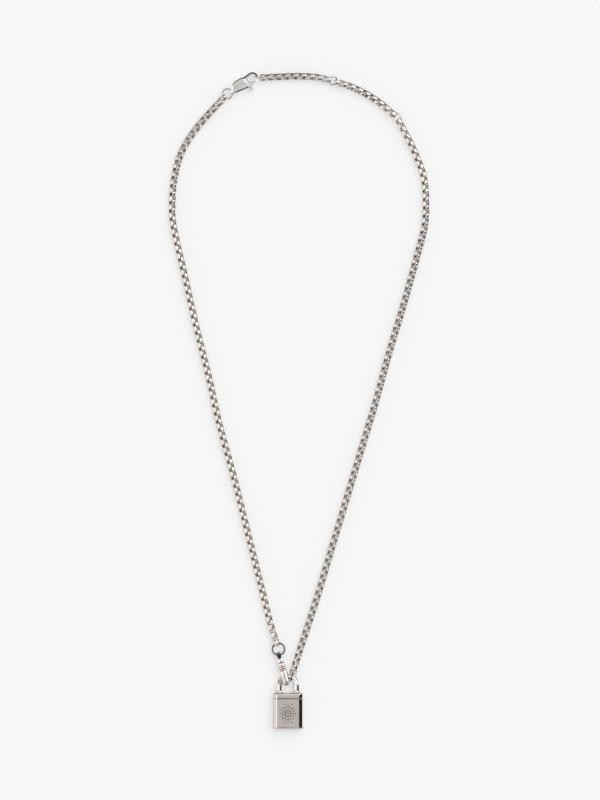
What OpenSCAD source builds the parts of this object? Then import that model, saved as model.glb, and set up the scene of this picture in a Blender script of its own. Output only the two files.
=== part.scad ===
// Padlock necklace: a round box chain with a lobster clasp and two size rings at the back,
// and at the front a small rectangular padlock, held by a flat strap loop and a ring.
// Millimetres. The necklace lies on its back: +X right, +Y towards the clasp, +Z up, floor at z = 0.

/* [Chain] */
// Diameter of the round envelope of the box chain
chain_d = 2.8; // [2.6:0.1:2.8]
// Wished distance from one link to the next, evened out over each stretch
link_pitch = 1.66; // [1.64:0.01:1.68]
// Thickness of the band that a link is bent from
link_wall = 0.46; // [0.4:0.02:0.46]
// Width of that band
link_band = 1.35; // [1.15:0.05:1.35]

/* [Rings] */
// Mean radius of the ring in the clasp's tail
tail_ring_r = 1.95; // [1.9:0.05:2]
// Mean radius of the upright ring in the clasp's hook
hook_ring_r = 1.67; // [1.67:0.01:1.7]
// Mean radius of the two size rings
size_ring_r = 1.65; // [1.6:0.05:1.7]
// Mean radius of the large front ring
front_ring_r = 2.44; // [2.4:0.02:2.5]
// Mean radius of the upright ring on the shackle
lock_ring_r = 1.8; // [1.78:0.01:1.82]
// Wire diameter of the small rings
ring_wire_d = 0.5; // [0.46:0.02:0.54]
// Wire diameter of the front ring
front_wire_d = 0.62; // [0.56:0.02:0.64]
// Wire diameter of the tail ring
tail_wire_d = 0.7; // [0.6:0.05:0.7]

/* [Padlock] */
// Width of the padlock's body
lock_w = 12.1; // [11.5:0.1:12.5]
// Height of the padlock's body
lock_h = 14.5; // [13.5:0.1:15]
// Thickness of the padlock's body
lock_t = 4.4; // [4.2:0.1:4.6]
// Width of the slanting sides beside the face
side_bevel = 1.45; // [1:0.05:1.6]
// Bevel along the top and bottom edges
end_bevel = 0.55; // [0.3:0.05:0.8]
// Distance of the seam from the top of the body
seam_drop = 2.3; // [2:0.1:2.6]
// Diameter of the shackle's wire
shackle_d = 2; // [1.9:0.05:2]
// Distance between the middles of the shackle's legs
shackle_span = 6.84; // [6.6:0.04:7]
// Height of the shackle's arch centre above the body
shackle_rise = 3; // [2.9:0.05:3.2]

/* [Strap loop] */
// Width of the strap loop
strap_w = 3; // [2.8:0.1:3]
// Width across its rounded foot
foot_w = 3.3; // [3.1:0.1:3.3]
// Thickness of its two walls where they pass the shackle
strap_wall = 0.6; // [0.5:0.05:0.65]
// Length of the enamelled panel along the strap loop
enamel_l = 2.9; // [2.4:0.1:3]
// Width of that panel
enamel_w = 2; // [1.6:0.1:2.1]
// Thickness of the enamel
enamel_t = 0.17; // [0.12:0.01:0.2]

/* [Clasp] */
// Thickness of the clasp's body
clasp_t = 3.5; // [3.4:0.05:3.6]
// Thickness of the clasp's hook
hook_t = 1.3; // [1.2:0.05:1.3]
// Thickness of the lever in its slot
lever_t = 1; // [0.8:0.05:1]
// Radius of the lever's pin
pin_r = 0.45; // [0.4:0.01:0.45]

/* [Hidden] */
$fn = 48;

// The middle of the outline over the floor, so that the origin is the bottom centre
middle = [-0.33, -0.02, 0];
chain_r = chain_d / 2;
eps = 0.01;

// The padlock hangs at the front, its middle plane half its thickness above the floor
lock_x = -4.7;
lock_top = -116.8;
lock_mid = lock_t / 2;
arch = [lock_x, lock_top + shackle_rise, lock_mid];
arch_r = shackle_span / 2;
wire_r = shackle_d / 2;

// Where the strap loop and the ring cross the arch, as angles from its top
strap_turn = 21;
ring_turn = 24.5;
strap_seat = arch + arch_r * [-sin(strap_turn), cos(strap_turn), 0];
strap_eye = [-8.42, -101.6, lock_mid];
strap_run = strap_seat - strap_eye;
strap_heading = atan2(strap_run[1], strap_run[0]);
strap_reach = norm(strap_run);
slot_r = wire_r + 0.15;
strap_r = slot_r + strap_wall;
foot_s = strap_reach + 1.75;
eye_r = 1.15;
eye_hole_r = 0.68;
collar_s = 1.55;
collar_z = 1.15;
neck_z = 0.85;
neck_top_w = 1.76;
neck_low_w = 1.5;
enamel_s = 3.5;
groove_w = 0.3;
groove_side = 0.08;
bed_gap = 0.03;

// Middles of the rings, and the way the upright ones point
front_ring = [-8.52, -99.4, 1.6];
front_tilt = -15.3;
lock_ring_heading = 74;
ring_hang = 0.44;
lock_ring = arch + arch_r * [sin(ring_turn), cos(ring_turn), 0]
    + ring_hang * [cos(lock_ring_heading), sin(lock_ring_heading), 0];
tail_ring = [-28.92, 122.82, clasp_t / 2];
size_ring_a = [13.3, 128, 1.4];
size_ring_a_heading = -30;
size_ring_a_tilt = 20;
size_ring_b = [38.9, 113.3, 1.4];
hook_ring_heading = -5;

// The clasp stands on its own line, from the tail's eye to the hook
clasp_at = [-27.7, 123.5, clasp_t / 2];
clasp_heading = 29;
pivot = [8.2, -1];
hook_ring_seat = [11.08, 0.8];
tail_eye_x = 0.5;
hook_ring_in = clasp_at + turned(hook_ring_seat, clasp_heading);
hook_ring = [hook_ring_in[0], hook_ring_in[1], hook_ring_r + ring_wire_d / 2 + eps]
    + hook_ring_r * [cos(hook_ring_heading), sin(hook_ring_heading), 0];

// A link's middle where it holds a ring: how far out from the ring's middle, and in which direction
flat_hold = 0.3;
upright_hold = 0.28;
function held(ring, out, a, z) = [ring[0] + out * cos(a), ring[1] + out * sin(a), z];
front_link = held(front_ring, front_ring_r * cos(front_tilt) + flat_hold, 106, 1.4);
tail_link = held(tail_ring, tail_ring_r + flat_hold, 228, 1.5);
hook_link = held(hook_ring, hook_ring_r + upright_hold, hook_ring_heading, 1.8);
size_link_1 = held(size_ring_a, size_ring_r * cos(size_ring_a_tilt) + flat_hold, 168, 1.42);
size_link_2 = held(size_ring_a, size_ring_r * cos(size_ring_a_tilt) + flat_hold, -20, 1.4);
size_link_3 = held(size_ring_b, size_ring_r + flat_hold, 139, 1.4);
size_link_4 = held(size_ring_b, size_ring_r + flat_hold, -62, 1.4);
lock_link = held(lock_ring, lock_ring_r + upright_hold, lock_ring_heading, 1.9);

// Routes of the four stretches of chain, through the middles of their first and last links
left_route = [
    front_link, [-12, -88, 1.4], [-16.5, -70, 1.4], [-21.5, -50, 1.4], [-26.5, -30, 1.4],
    [-32, -10, 1.4], [-36.5, 10, 1.4], [-41.5, 30, 1.4], [-46, 50, 1.4], [-50.5, 70, 1.4],
    [-51, 80, 1.4], [-50, 90, 1.4], [-47, 100, 1.4], [-40.5, 110, 1.4], tail_link
];
right_route = [
    size_link_4, [45.5, 100.5, 1.4], [49.5, 90, 1.4], [50.5, 80, 1.4], [50, 70, 1.4],
    [47.5, 60, 1.4], [42, 40, 1.4], [36, 20, 1.4], [30.5, 0, 1.4], [24.5, -20, 1.4],
    [18.5, -40, 1.4], [12.5, -60, 1.4], [6.5, -80, 1.4], [0, -100, 1.5], lock_link
];
size_a_route = [
    hook_link, [-8, 129.6, 1.5], [-2, 129.8, 1.42], [6, 129.5, 1.42], size_link_1
];
size_b_route = [
    size_link_2, [20, 125.8, 1.4], [26, 123, 1.4], [32, 119.2, 1.4], size_link_3
];
// A link that holds a flat ring stands upright, one that holds an upright ring lies flat
upright = 90;
flat = 0;
twist_links = 8;
tube_sides = 8;
tube_step = 2.5 * chain_d;
tube_short = 0.25;

function turned(p, a) = [p[0] * cos(a) - p[1] * sin(a), p[0] * sin(a) + p[1] * cos(a), 0];

// A smooth curve through the route's points, as a dense row of points
function between(a, b, c, d, t) =
    0.5 * (2 * b + t * (c - a) + t * t * (2 * a - 5 * b + 4 * c - d) + t * t * t * (3 * b - a - 3 * c + d));
function before_first(r) = 2 * r[0] - r[1];
function after_last(r) = 2 * r[len(r) - 1] - r[len(r) - 2];
function knot(r, i) = i < 0 ? before_first(r) : i >= len(r) ? after_last(r) : r[i];
function smooth(r, steps = 10) = [
    for (i = [0 : len(r) - 2]) for (k = [0 : steps - 1])
        between(knot(r, i - 1), r[i], r[i + 1], knot(r, i + 2), k / steps),
    r[len(r) - 1]
];
// Distance from the start at each of those points, and the point at a given distance
function distances(p) = [
    for (i = 0, s = 0; i < len(p); s = s + (i + 1 < len(p) ? norm(p[i + 1] - p[i]) : 0), i = i + 1) s
];
function segment(d, s, lo, hi) =
    hi - lo <= 1 ? lo
    : let (mid = floor((lo + hi) / 2)) d[mid] <= s ? segment(d, s, mid, hi) : segment(d, s, lo, mid);
function point_at(p, d, s) =
    let (i = segment(d, s, 0, len(d) - 1)) p[i] + (p[i + 1] - p[i]) * (s - d[i]) / (d[i + 1] - d[i]);
function direction_at(p, d, s) =
    let (v = point_at(p, d, s + 0.6) - point_at(p, d, s - 0.6)) v / norm(v);
// The shortest turn that brings a link's plane to the wished one
function turn_to(wished, roll) = let (d = ((wished - roll) % 180 + 180) % 180) d > 90 ? d - 180 : d;

// One link: a square frame of flat band, its outside rounded to the chain's envelope
module link() {
    intersection() {
        rotate([0, 90, 0]) cylinder(d = chain_d, h = chain_d, center = true);
        difference() {
            cube([chain_d, chain_d + eps, link_band], center = true);
            cube([chain_d - 2 * link_wall, chain_d - 2 * link_wall, link_band + 1], center = true);
        }
    }
}

// Links along a route, each turned a quarter from the last, eased at both ends to suit the rings
module links(route, first_plane, last_plane) {
    p = smooth(route);
    d = distances(p);
    whole = d[len(d) - 1];
    count = round(whole / link_pitch);
    first_turn = turn_to(first_plane, 45);
    last_turn = turn_to(last_plane, 45 + 90 * count);
    for (i = [0 : count]) {
        s = whole * i / count;
        v = direction_at(p, d, s);
        roll = 45 + 90 * i + first_turn * max(0, 1 - i / twist_links)
            + last_turn * max(0, 1 - (count - i) / twist_links);
        translate(point_at(p, d, s))
            rotate([0, -asin(v[2]), atan2(v[1], v[0])]) rotate([roll, 0, 0]) link();
    }
}

// A plain tube of the chain's size along a route, a little short of the rings at its ends
module tube(route) {
    p = smooth(route);
    d = distances(p);
    whole = d[len(d) - 1] - 2 * tube_short;
    steps = ceil(whole / tube_step);
    rings = [
        for (i = [0 : steps])
            let (
                s = tube_short + whole * i / steps,
                v = direction_at(p, d, s),
                side = [-v[1], v[0], 0] / norm([v[0], v[1]])
            )
                for (k = [0 : tube_sides - 1])
                    let (a = 360 * (k + 0.5) / tube_sides)
                        point_at(p, d, s) + chain_r * (cos(a) * side + sin(a) * cross(v, side))
    ];
    skin = [
        for (i = [0 : steps - 1]) for (k = [0 : tube_sides - 1])
            let (a = i * tube_sides + k, b = i * tube_sides + (k + 1) % tube_sides)
                [a, b, b + tube_sides, a + tube_sides]
    ];
    start = [for (k = [tube_sides - 1 : -1 : 0]) k];
    end = [for (k = [0 : tube_sides - 1]) steps * tube_sides + k];
    polyhedron(rings, concat([start], skin, [end]));
}

// A closed ring of round wire, lying flat
module ring(mean_r, wire_d) {
    rotate_extrude() translate([mean_r, 0]) circle(d = wire_d, $fn = 24);
}

module upright_ring(at, heading, mean_r) {
    translate(at) rotate([90, 0, heading]) ring(mean_r, ring_wire_d);
}

module rounded(w, h, r) {
    square([w - 2 * r, h], center = true);
    square([w, h - 2 * r], center = true);
    for (x = [-1, 1], y = [-1, 1]) translate([x * (w / 2 - r), y * (h / 2 - r)]) circle(r);
}

module chain_left() {
    color("silver") translate(-middle) links(left_route, upright, upright);
}

module chain_right() {
    color("silver") translate(-middle) tube(right_route);
}

module chain_size_a() {
    color("silver") translate(-middle) links(size_a_route, flat, upright);
}

module chain_size_b() {
    color("silver") translate(-middle) links(size_b_route, upright, upright);
}

module ring_tail() {
    color("silver") translate(tail_ring - middle) ring(tail_ring_r, tail_wire_d);
}

module ring_hook() {
    color("silver") upright_ring(hook_ring - middle, hook_ring_heading, hook_ring_r);
}

module ring_size_a() {
    color("silver") translate(size_ring_a - middle) rotate([0, 0, size_ring_a_heading])
        rotate([0, size_ring_a_tilt, 0]) ring(size_ring_r, ring_wire_d);
}

module ring_size_b() {
    color("silver") translate(size_ring_b - middle) ring(size_ring_r, ring_wire_d);
}

module ring_front() {
    color("silver") translate(front_ring - middle) rotate([front_tilt, 0, 0]) ring(front_ring_r, front_wire_d);
}

module ring_lock() {
    color("silver") upright_ring(lock_ring - middle, lock_ring_heading, lock_ring_r);
}

// The strap loop seen from its side, x along it from the eye: thin neck, then two walls that part
// to pass over and under the shackle. The inset shrinks it for the enamel's bed.
module strap_side(inset) {
    circle(eye_r);
    polygon([
        [0, -neck_z], [collar_s, -neck_z], [collar_s, inset - collar_z],
        [strap_reach - 1.5, inset - strap_r], [foot_s, inset - strap_r],
        [foot_s, strap_r - inset], [strap_reach - 1.5, strap_r - inset],
        [collar_s, collar_z - inset], [collar_s, neck_z], [0, neck_z]
    ]);
    translate([foot_s, 0]) circle(strap_r);
}

module strap_hole() {
    circle(eye_hole_r);
    translate([strap_reach, 0]) circle(slot_r);
    translate([strap_reach, -slot_r]) square([foot_s - strap_reach, 2 * slot_r]);
    translate([foot_s, 0]) circle(slot_r);
}

// The same loop seen from above: narrow neck, straight sides, round foot
module strap_plan(inset) {
    half = strap_w / 2 - inset;
    polygon([
        [-eye_r, -neck_top_w / 2], [collar_s, -neck_low_w / 2], [collar_s, -half], [foot_s, -half],
        [foot_s, half], [collar_s, half], [collar_s, neck_low_w / 2], [-eye_r, neck_top_w / 2]
    ]);
    translate([foot_s, 0]) circle(foot_w / 2);
}

module strap_form(inset) {
    intersection() {
        rotate([90, 0, 0]) linear_extrude(foot_w + 1, center = true) strap_side(inset);
        linear_extrude(2 * strap_r + 1, center = true) strap_plan(inset);
    }
}

// The room of the enamel on the upper face
module strap_cell(from, length, w) {
    translate([from, -w / 2, 0]) cube([length, w, strap_r + 1]);
}

module in_strap_frame() {
    translate(strap_eye - middle) rotate([0, 0, strap_heading]) children();
}

module strap_loop() {
    bed = enamel_l + 2 * groove_w;
    color("silver") in_strap_frame() difference() {
        strap_form(0);
        rotate([90, 0, 0]) linear_extrude(foot_w + 1, center = true) strap_hole();
        difference() {
            strap_cell(enamel_s - groove_w, bed, enamel_w + 2 * groove_side);
            strap_form(enamel_t + bed_gap);
        }
    }
}

module enamel_panel() {
    color("firebrick") in_strap_frame() difference() {
        intersection() {
            strap_form(0);
            strap_cell(enamel_s, enamel_l, enamel_w);
        }
        strap_form(enamel_t);
    }
}

// The padlock's case: slanting sides beside a flat face and back, small bevels at top and bottom
module lock_form(inset) {
    w = lock_w / 2 - inset;
    t = lock_t / 2 - inset;
    h = lock_h / 2;
    drop = 1.2;
    corner_r = 0.8;
    intersection() {
        rotate([90, 0, 0]) linear_extrude(lock_h + 1, center = true) polygon([
            [-w, -t + drop], [-w + side_bevel, -t], [w - side_bevel, -t], [w, -t + drop],
            [w, t - drop], [w - side_bevel, t], [-w + side_bevel, t], [-w, t - drop]
        ]);
        rotate([90, 0, 90]) linear_extrude(lock_w + 1, center = true) polygon([
            [-h, -t + end_bevel], [-h + end_bevel, -t], [h - end_bevel, -t], [h, -t + end_bevel],
            [h, t - end_bevel], [h - end_bevel, t], [-h + end_bevel, t], [-h, t - end_bevel]
        ]);
        linear_extrude(lock_t + 1, center = true) rounded(2 * w, lock_h, corner_r);
    }
}

// A sunburst in an oval: long and short rays round a small ring, with a dot past each short ray
module sunburst() {
    rays = 16;
    reach = [3.65, 4.25];
    short = 0.72;
    start = 1.75;
    belly = 2.3;
    half = 0.3;
    dot_r = 0.28;
    for (i = [0 : rays - 1]) {
        a = 360 * i / rays;
        whole = norm([reach[0] * cos(a), reach[1] * sin(a)]);
        is_long = i % 2 == 0;
        length = is_long ? whole : short * whole;
        rotate(a) polygon([[start, 0], [belly, -half], [length, 0], [belly, half]]);
        if (!is_long) rotate(a) translate([whole - dot_r, 0]) circle(dot_r, $fn = 24);
    }
    difference() {
        circle(1.4);
        circle(1);
    }
}

module lock_body() {
    bore = wire_r + 0.05;
    collar_r = 1.4;
    collar_h = 0.8;
    cut = 0.2;
    sun_down = 0.9;
    seam_w = 0.3;
    seam_deep = 0.25;
    color("gainsboro") translate([lock_x, lock_top - lock_h / 2, lock_mid] - middle) difference() {
        union() {
            lock_form(0);
            for (x = [-1, 1]) translate([x * arch_r, lock_h / 2 + collar_h, 0])
                rotate([90, 0, 0]) cylinder(r = collar_r, h = 2 * collar_h);
        }
        for (x = [-1, 1]) translate([x * arch_r, lock_h / 2 + 1, 0])
            rotate([90, 0, 0]) cylinder(r = bore, h = 4);
        difference() {
            translate([0, lock_h / 2 - seam_drop, 0]) cube([lock_w + 1, seam_w, lock_t + 1], center = true);
            lock_form(seam_deep);
        }
        translate([0, -sun_down, lock_t / 2 - cut]) linear_extrude(1) sunburst();
    }
}

module shackle() {
    in_case = 2.5;
    leg = shackle_rise + in_case;
    color("silver") translate(arch - middle) union() {
        rotate_extrude(angle = 180) translate([arch_r, 0]) circle(wire_r);
        for (x = [-1, 1]) translate([x * arch_r, 0, 0]) rotate([90, 0, 0]) cylinder(r = wire_r, h = leg);
    }
}

module in_clasp_frame() {
    translate(clasp_at - middle) rotate([0, 0, clasp_heading]) children();
}

// Round corners [x, y, radius], in anticlockwise order, joined by their outer tangents. The tangents are tucked
// a hair inside the circles, so that they cross them and leave a clean outline.
tuck = 0.02;
function beside(a, b) =
    let (
        run = [b[0] - a[0], b[1] - a[1]],
        way = atan2(run[1], run[0]) - 90,
        lean = asin((b[2] - a[2]) / norm(run)),
        out = [cos(way - lean), sin(way - lean)]
    )
        [[a[0], a[1]] + (a[2] - tuck) * out, [b[0], b[1]] + (b[2] - tuck) * out];

module round_cornered(corners) {
    polygon([for (i = [0 : len(corners) - 1]) each beside(corners[i], corners[(i + 1) % len(corners)])]);
    for (c = corners) translate([c[0], c[1]]) circle(c[2]);
}

// The clasp's cheeks from above: a leaf, slim at the tail and full over the back
cheek_corners = [[1.35, -0.3, 1.1], [7.3, -1.3, 0.65], [6.3, 2.05, 0.95], [3.4, 0.5, 2.45]];
cheek_middle_x = 4.2;
window_r = 1.15;
window_y = 0.42;

// The hook from above: a curved back round a small window that the lever closes from below
module hook_plan() {
    nose = [10.45, 0.8];
    nose_r = 2.15;
    window_x = [9.6, 10.6];
    gate_x = [8.35, 10.95];
    gate_top = -0.15;
    difference() {
        union() {
            translate(nose) circle(nose_r);
            polygon([[7, -0.2], [nose[0], -0.2], [nose[0], nose[1] + nose_r], [7, 2.6]]);
        }
        for (x = window_x) translate([x, window_y]) circle(window_r);
        translate([window_x[0], window_y - window_r]) square([window_x[1] - window_x[0], 2 * window_r]);
        translate([gate_x[0], gate_top - 3]) square([gate_x[1] - gate_x[0], 3]);
    }
}

module clasp_cheeks() {
    dome_r = 14.8;
    dome_c = dome_r - clasp_t / 2;
    intersection() {
        linear_extrude(clasp_t, center = true) round_cornered(cheek_corners);
        translate([cheek_middle_x, 0, 0]) rotate([90, 0, 0]) linear_extrude(8, center = true) intersection() {
            translate([0, -dome_c]) circle(dome_r, $fn = 180);
            translate([0, dome_c]) circle(dome_r, $fn = 180);
        }
    }
}

// The tail's ring runs in a slit between the cheeks and through the eye that stands in the slit
module clasp_body() {
    boss_r = 0.95;
    boss_t = 2.3;
    eye_w = 1.4;
    tail_eye_r = 1.05;
    tail_hole_r = 0.6;
    tail_neck_t = 1.6;
    slit_t = 0.96;
    slit_end = 1.2;
    lever_gap = 0.1;
    slot_x = [6.3, 9.5];
    color("silver") in_clasp_frame() difference() {
        union() {
            difference() {
                clasp_cheeks();
                translate([-1, -3, -slit_t / 2]) cube([slit_end + 1, 6, slit_t]);
            }
            linear_extrude(hook_t, center = true) hook_plan();
            translate([pivot[0], pivot[1], 0]) cylinder(r = boss_r, h = boss_t, center = true);
            translate([tail_eye_x, 0, 0]) rotate([90, 0, 0]) cylinder(r = tail_eye_r, h = eye_w, center = true);
            translate([tail_eye_x, -eye_w / 2, -tail_neck_t / 2]) cube([1.5, eye_w, tail_neck_t]);
        }
        translate([tail_eye_x, 0, 0]) rotate([90, 0, 0]) cylinder(r = tail_hole_r, h = 6, center = true);
        translate([slot_x[0], -4, -lever_t / 2 - lever_gap])
            cube([slot_x[1] - slot_x[0], 4, lever_t + 2 * lever_gap]);
        translate([pivot[0], pivot[1], 0]) cylinder(r = pin_r + 0.03, h = clasp_t + 1, center = true);
    }
}

module clasp_pin() {
    pin_l = clasp_t - 0.9;
    color("silver") in_clasp_frame() translate([pivot[0], pivot[1], 0]) cylinder(r = pin_r, h = pin_l, center = true);
}

// The lever: a hub on the pin, a tab for the thumb, and an arm that closes the hook
module clasp_lever() {
    hub_r = 0.75;
    bore_r = pin_r + 0.08;
    gate_t = hook_t + 0.1;
    tip_x = 10.82;
    arm = [[8.2, -0.4], [9.8, -0.42], [9.8, -1.68], [8.2, -1.75]];
    tab = [[7.5, -1.2], [8.75, -1.5], [8.6, -3], [8.35, -3.7], [8.1, -3.8], [6.9, -3.15], [6.75, -2.8]];
    gate = [[9.4, -0.42], [tip_x, -0.45], [tip_x, -1.35], [10.6, -1.52], [9.4, -1.7]];
    color("silver") in_clasp_frame() difference() {
        union() {
            linear_extrude(lever_t, center = true) {
                translate(pivot) circle(hub_r);
                polygon(arm);
                polygon(tab);
            }
            linear_extrude(gate_t, center = true) polygon(gate);
        }
        translate([pivot[0], pivot[1], 0]) cylinder(r = bore_r, h = 4, center = true);
    }
}

chain_left();
chain_right();
chain_size_a();
chain_size_b();
ring_tail();
ring_hook();
ring_size_a();
ring_size_b();
ring_front();
ring_lock();
strap_loop();
enamel_panel();
lock_body();
shackle();
clasp_body();
clasp_pin();
clasp_lever();
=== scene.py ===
# %% [markdown]
# # A padlock necklace of polished steel
# The necklace is a round box chain with a lobster clasp and two size rings at the back. At the front a
# flat strap loop with an enamel panel holds a small rectangular padlock. It lies on a pale sheet and is
# seen from straight above. Every piece is built in the frame that holds the exact sizes, so nothing is
# fitted by eye.

# %% Load the frame and keep its box
import math

import bmesh
import bpy
import numpy as np
from mathutils import Matrix, Vector


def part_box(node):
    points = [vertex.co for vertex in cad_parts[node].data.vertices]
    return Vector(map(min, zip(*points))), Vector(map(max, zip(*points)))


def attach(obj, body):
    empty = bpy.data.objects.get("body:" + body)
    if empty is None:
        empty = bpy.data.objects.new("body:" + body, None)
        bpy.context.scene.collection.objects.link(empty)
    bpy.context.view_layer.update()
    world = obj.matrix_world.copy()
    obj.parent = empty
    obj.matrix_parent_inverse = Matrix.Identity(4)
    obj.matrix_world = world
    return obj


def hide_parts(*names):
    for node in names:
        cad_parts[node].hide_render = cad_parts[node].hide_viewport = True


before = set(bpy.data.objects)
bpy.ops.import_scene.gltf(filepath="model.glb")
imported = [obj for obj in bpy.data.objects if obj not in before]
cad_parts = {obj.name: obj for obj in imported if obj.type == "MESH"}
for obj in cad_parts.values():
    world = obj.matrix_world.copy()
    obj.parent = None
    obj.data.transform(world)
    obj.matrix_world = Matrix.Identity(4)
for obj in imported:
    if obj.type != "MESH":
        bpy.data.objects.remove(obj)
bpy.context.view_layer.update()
MM = 0.001
print("nodes in the frame:", len(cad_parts))

# %% [markdown]
# ## Camera
# The photograph looks straight down, and its 800 rows cover 320 mm at the height of the chain's middle. A
# long lens from 2.4 m keeps the pieces near the edge from leaning outwards. Blender fits the sensor's 36
# mm to the picture's long side, so the lens follows from the distance and the height that the picture
# covers.

# %% Camera straight above
PICTURE_MM = 320.0
PICTURE_MIDDLE = (0.4, 0.3)
CAMERA_HEIGHT_MM = 2400.0
CHAIN_MIDDLE_MM = 2.0
SENSOR_MM = 36.0
CLIP_NEAR = 0.05
CLIP_FAR = 20.0


def linked(name, data):
    made = bpy.data.objects.new(name, data)
    bpy.context.scene.collection.objects.link(made)
    return made


camera_data = bpy.data.cameras.new("camera")
camera_data.sensor_width = SENSOR_MM
camera_data.lens = SENSOR_MM * CAMERA_HEIGHT_MM / PICTURE_MM
camera_data.clip_start = CLIP_NEAR
camera_data.clip_end = CLIP_FAR
camera = linked("camera", camera_data)
camera.location = [v * MM for v in (*PICTURE_MIDDLE, CAMERA_HEIGHT_MM + CHAIN_MIDDLE_MM)]
bpy.context.scene.camera = camera
print("lens:", round(camera_data.lens, 1), "mm")

# %% [markdown]
# ## Light
# Polished steel shows nothing but its surroundings, so it is lit by a ring of large soft panels with dark
# gaps between them: the panels give the white glints, and the gaps give the black edges. A few dim ones
# keep flat sides from going black in a low view. They could be area lamps. Painted into the world by
# bearing and height they cost no render time and have no hard ends. Bearings run from +X towards +Y, and
# heights from -90 under the sheet to 90 overhead, all in degrees. Only the steel sees the panels. The
# sheet gets an even light, so that its shadows stay soft and pale.

# %% A small kit for wiring nodes
def node_in(tree, kind, **settings):
    made = tree.nodes.new(kind)
    for name, value in settings.items():
        setattr(made, name, value)
    return made


def wire(tree, source, target):
    tree.links.new(source, target)


def grey(value):
    return (value, value, value, 1.0)


def sum_of(tree, operation, first, second=None):
    made = node_in(tree, "ShaderNodeMath", operation=operation)
    for socket, value in zip(made.inputs, (first, second)):
        if isinstance(value, (int, float)):
            socket.default_value = value
        elif value is not None:
            wire(tree, value, socket)
    return made.outputs[0]


def soft_step(tree, value, full, none):
    made = node_in(tree, "ShaderNodeMapRange", interpolation_type="SMOOTHSTEP")
    wire(tree, value, made.inputs["Value"])
    made.inputs["From Min"].default_value = full
    made.inputs["From Max"].default_value = none
    made.inputs["To Min"].default_value = 1.0
    made.inputs["To Max"].default_value = 0.0
    return made.outputs["Result"]


# %% Panels of light round the table
PANELS = [
    # name, bearing, half width, height, half height, soft edge, colour
    ("overhead", 0, 200, 90, 24, 6, (0.66, 0.645, 0.63)),
    ("top edge", 102, 28, 60, 15, 5, (1.25, 1.22, 1.20)),
    ("upper left", 181, 12, 60, 15, 4, (1.18, 1.16, 1.14)),
    ("upper right", 40, 34, 62, 12, 8, (0.80, 0.79, 0.78)),
    ("right", 334, 13, 22, 28, 4, (1.10, 1.10, 1.10)),
    ("under", 0, 200, -90, 48, 14, (0.80, 0.78, 0.77)),
    ("rim", 9, 18, -37, 24, 4, (1.05, 1.05, 1.05)),
    ("key", 40, 33, 34, 24, 5, (1.90, 1.88, 1.86)),
    ("behind", 88, 9, 26, 16, 4, (0.80, 0.80, 0.80)),
    ("left", 197, 36, 14, 52, 8, (1.12, 1.07, 1.05)),
    ("far left", 143, 10, 16, 36, 8, (0.70, 0.68, 0.67)),
    ("front", 268, 12, 14, 30, 8, (0.80, 0.80, 0.80)),
    ("low right", 323, 17, 0, 50, 5, (0.40, 0.39, 0.38)),
    ("far wall", 122, 24, 34, 18, 10, (0.30, 0.29, 0.28)),
    ("near wall", 262, 46, 40, 18, 10, (0.30, 0.29, 0.28)),
    ("near sheet", 256, 30, -24, 18, 6, (0.36, 0.35, 0.34)),
    ("far sheet", 106, 26, -22, 12, 6, (0.36, 0.35, 0.34)),
]


def panel_light(tree, bearing, height, panel):
    _, middle, half_width, level, half_height, soft, colour = panel
    aside = sum_of(tree, "SUBTRACT", bearing, math.radians(middle))
    wrapped = node_in(tree, "ShaderNodeMath", operation="WRAP")
    wire(tree, aside, wrapped.inputs[0])
    wrapped.inputs[1].default_value = math.pi
    wrapped.inputs[2].default_value = -math.pi
    aside = sum_of(tree, "ABSOLUTE", wrapped.outputs[0])
    across = soft_step(tree, aside, math.radians(half_width - soft), math.radians(half_width + soft))
    up = sum_of(tree, "ABSOLUTE", sum_of(tree, "SUBTRACT", height, math.radians(level)))
    along = soft_step(tree, up, math.radians(half_height - soft), math.radians(half_height + soft))
    tinted = node_in(tree, "ShaderNodeVectorMath", operation="SCALE")
    tinted.inputs[0].default_value = colour
    wire(tree, sum_of(tree, "MULTIPLY", across, along), tinted.inputs["Scale"])
    return tinted.outputs[0]


print("panels:", ", ".join(panel[0] for panel in PANELS))

# %% The world that holds the panels
DARK_ROOM = (0.02, 0.02, 0.022)
PALE_ROOM = 0.93
EVEN_LIGHT = 0.45


def panels_seen(tree):
    """What the steel sees: all the panels, added up over a nearly dark room."""
    where = node_in(tree, "ShaderNodeTexCoord")
    split = node_in(tree, "ShaderNodeSeparateXYZ")
    wire(tree, where.outputs["Generated"], split.inputs[0])
    bearing = sum_of(tree, "ARCTAN2", split.outputs["Y"], split.outputs["X"])
    height = sum_of(tree, "ARCSINE", split.outputs["Z"])
    total = None
    for panel in PANELS:
        added = node_in(tree, "ShaderNodeVectorMath", operation="ADD")
        wire(tree, panel_light(tree, bearing, height, panel), added.inputs[0])
        if total is None:
            added.inputs[1].default_value = DARK_ROOM
        else:
            wire(tree, total, added.inputs[1])
        total = added.outputs[0]
    return total


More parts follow.
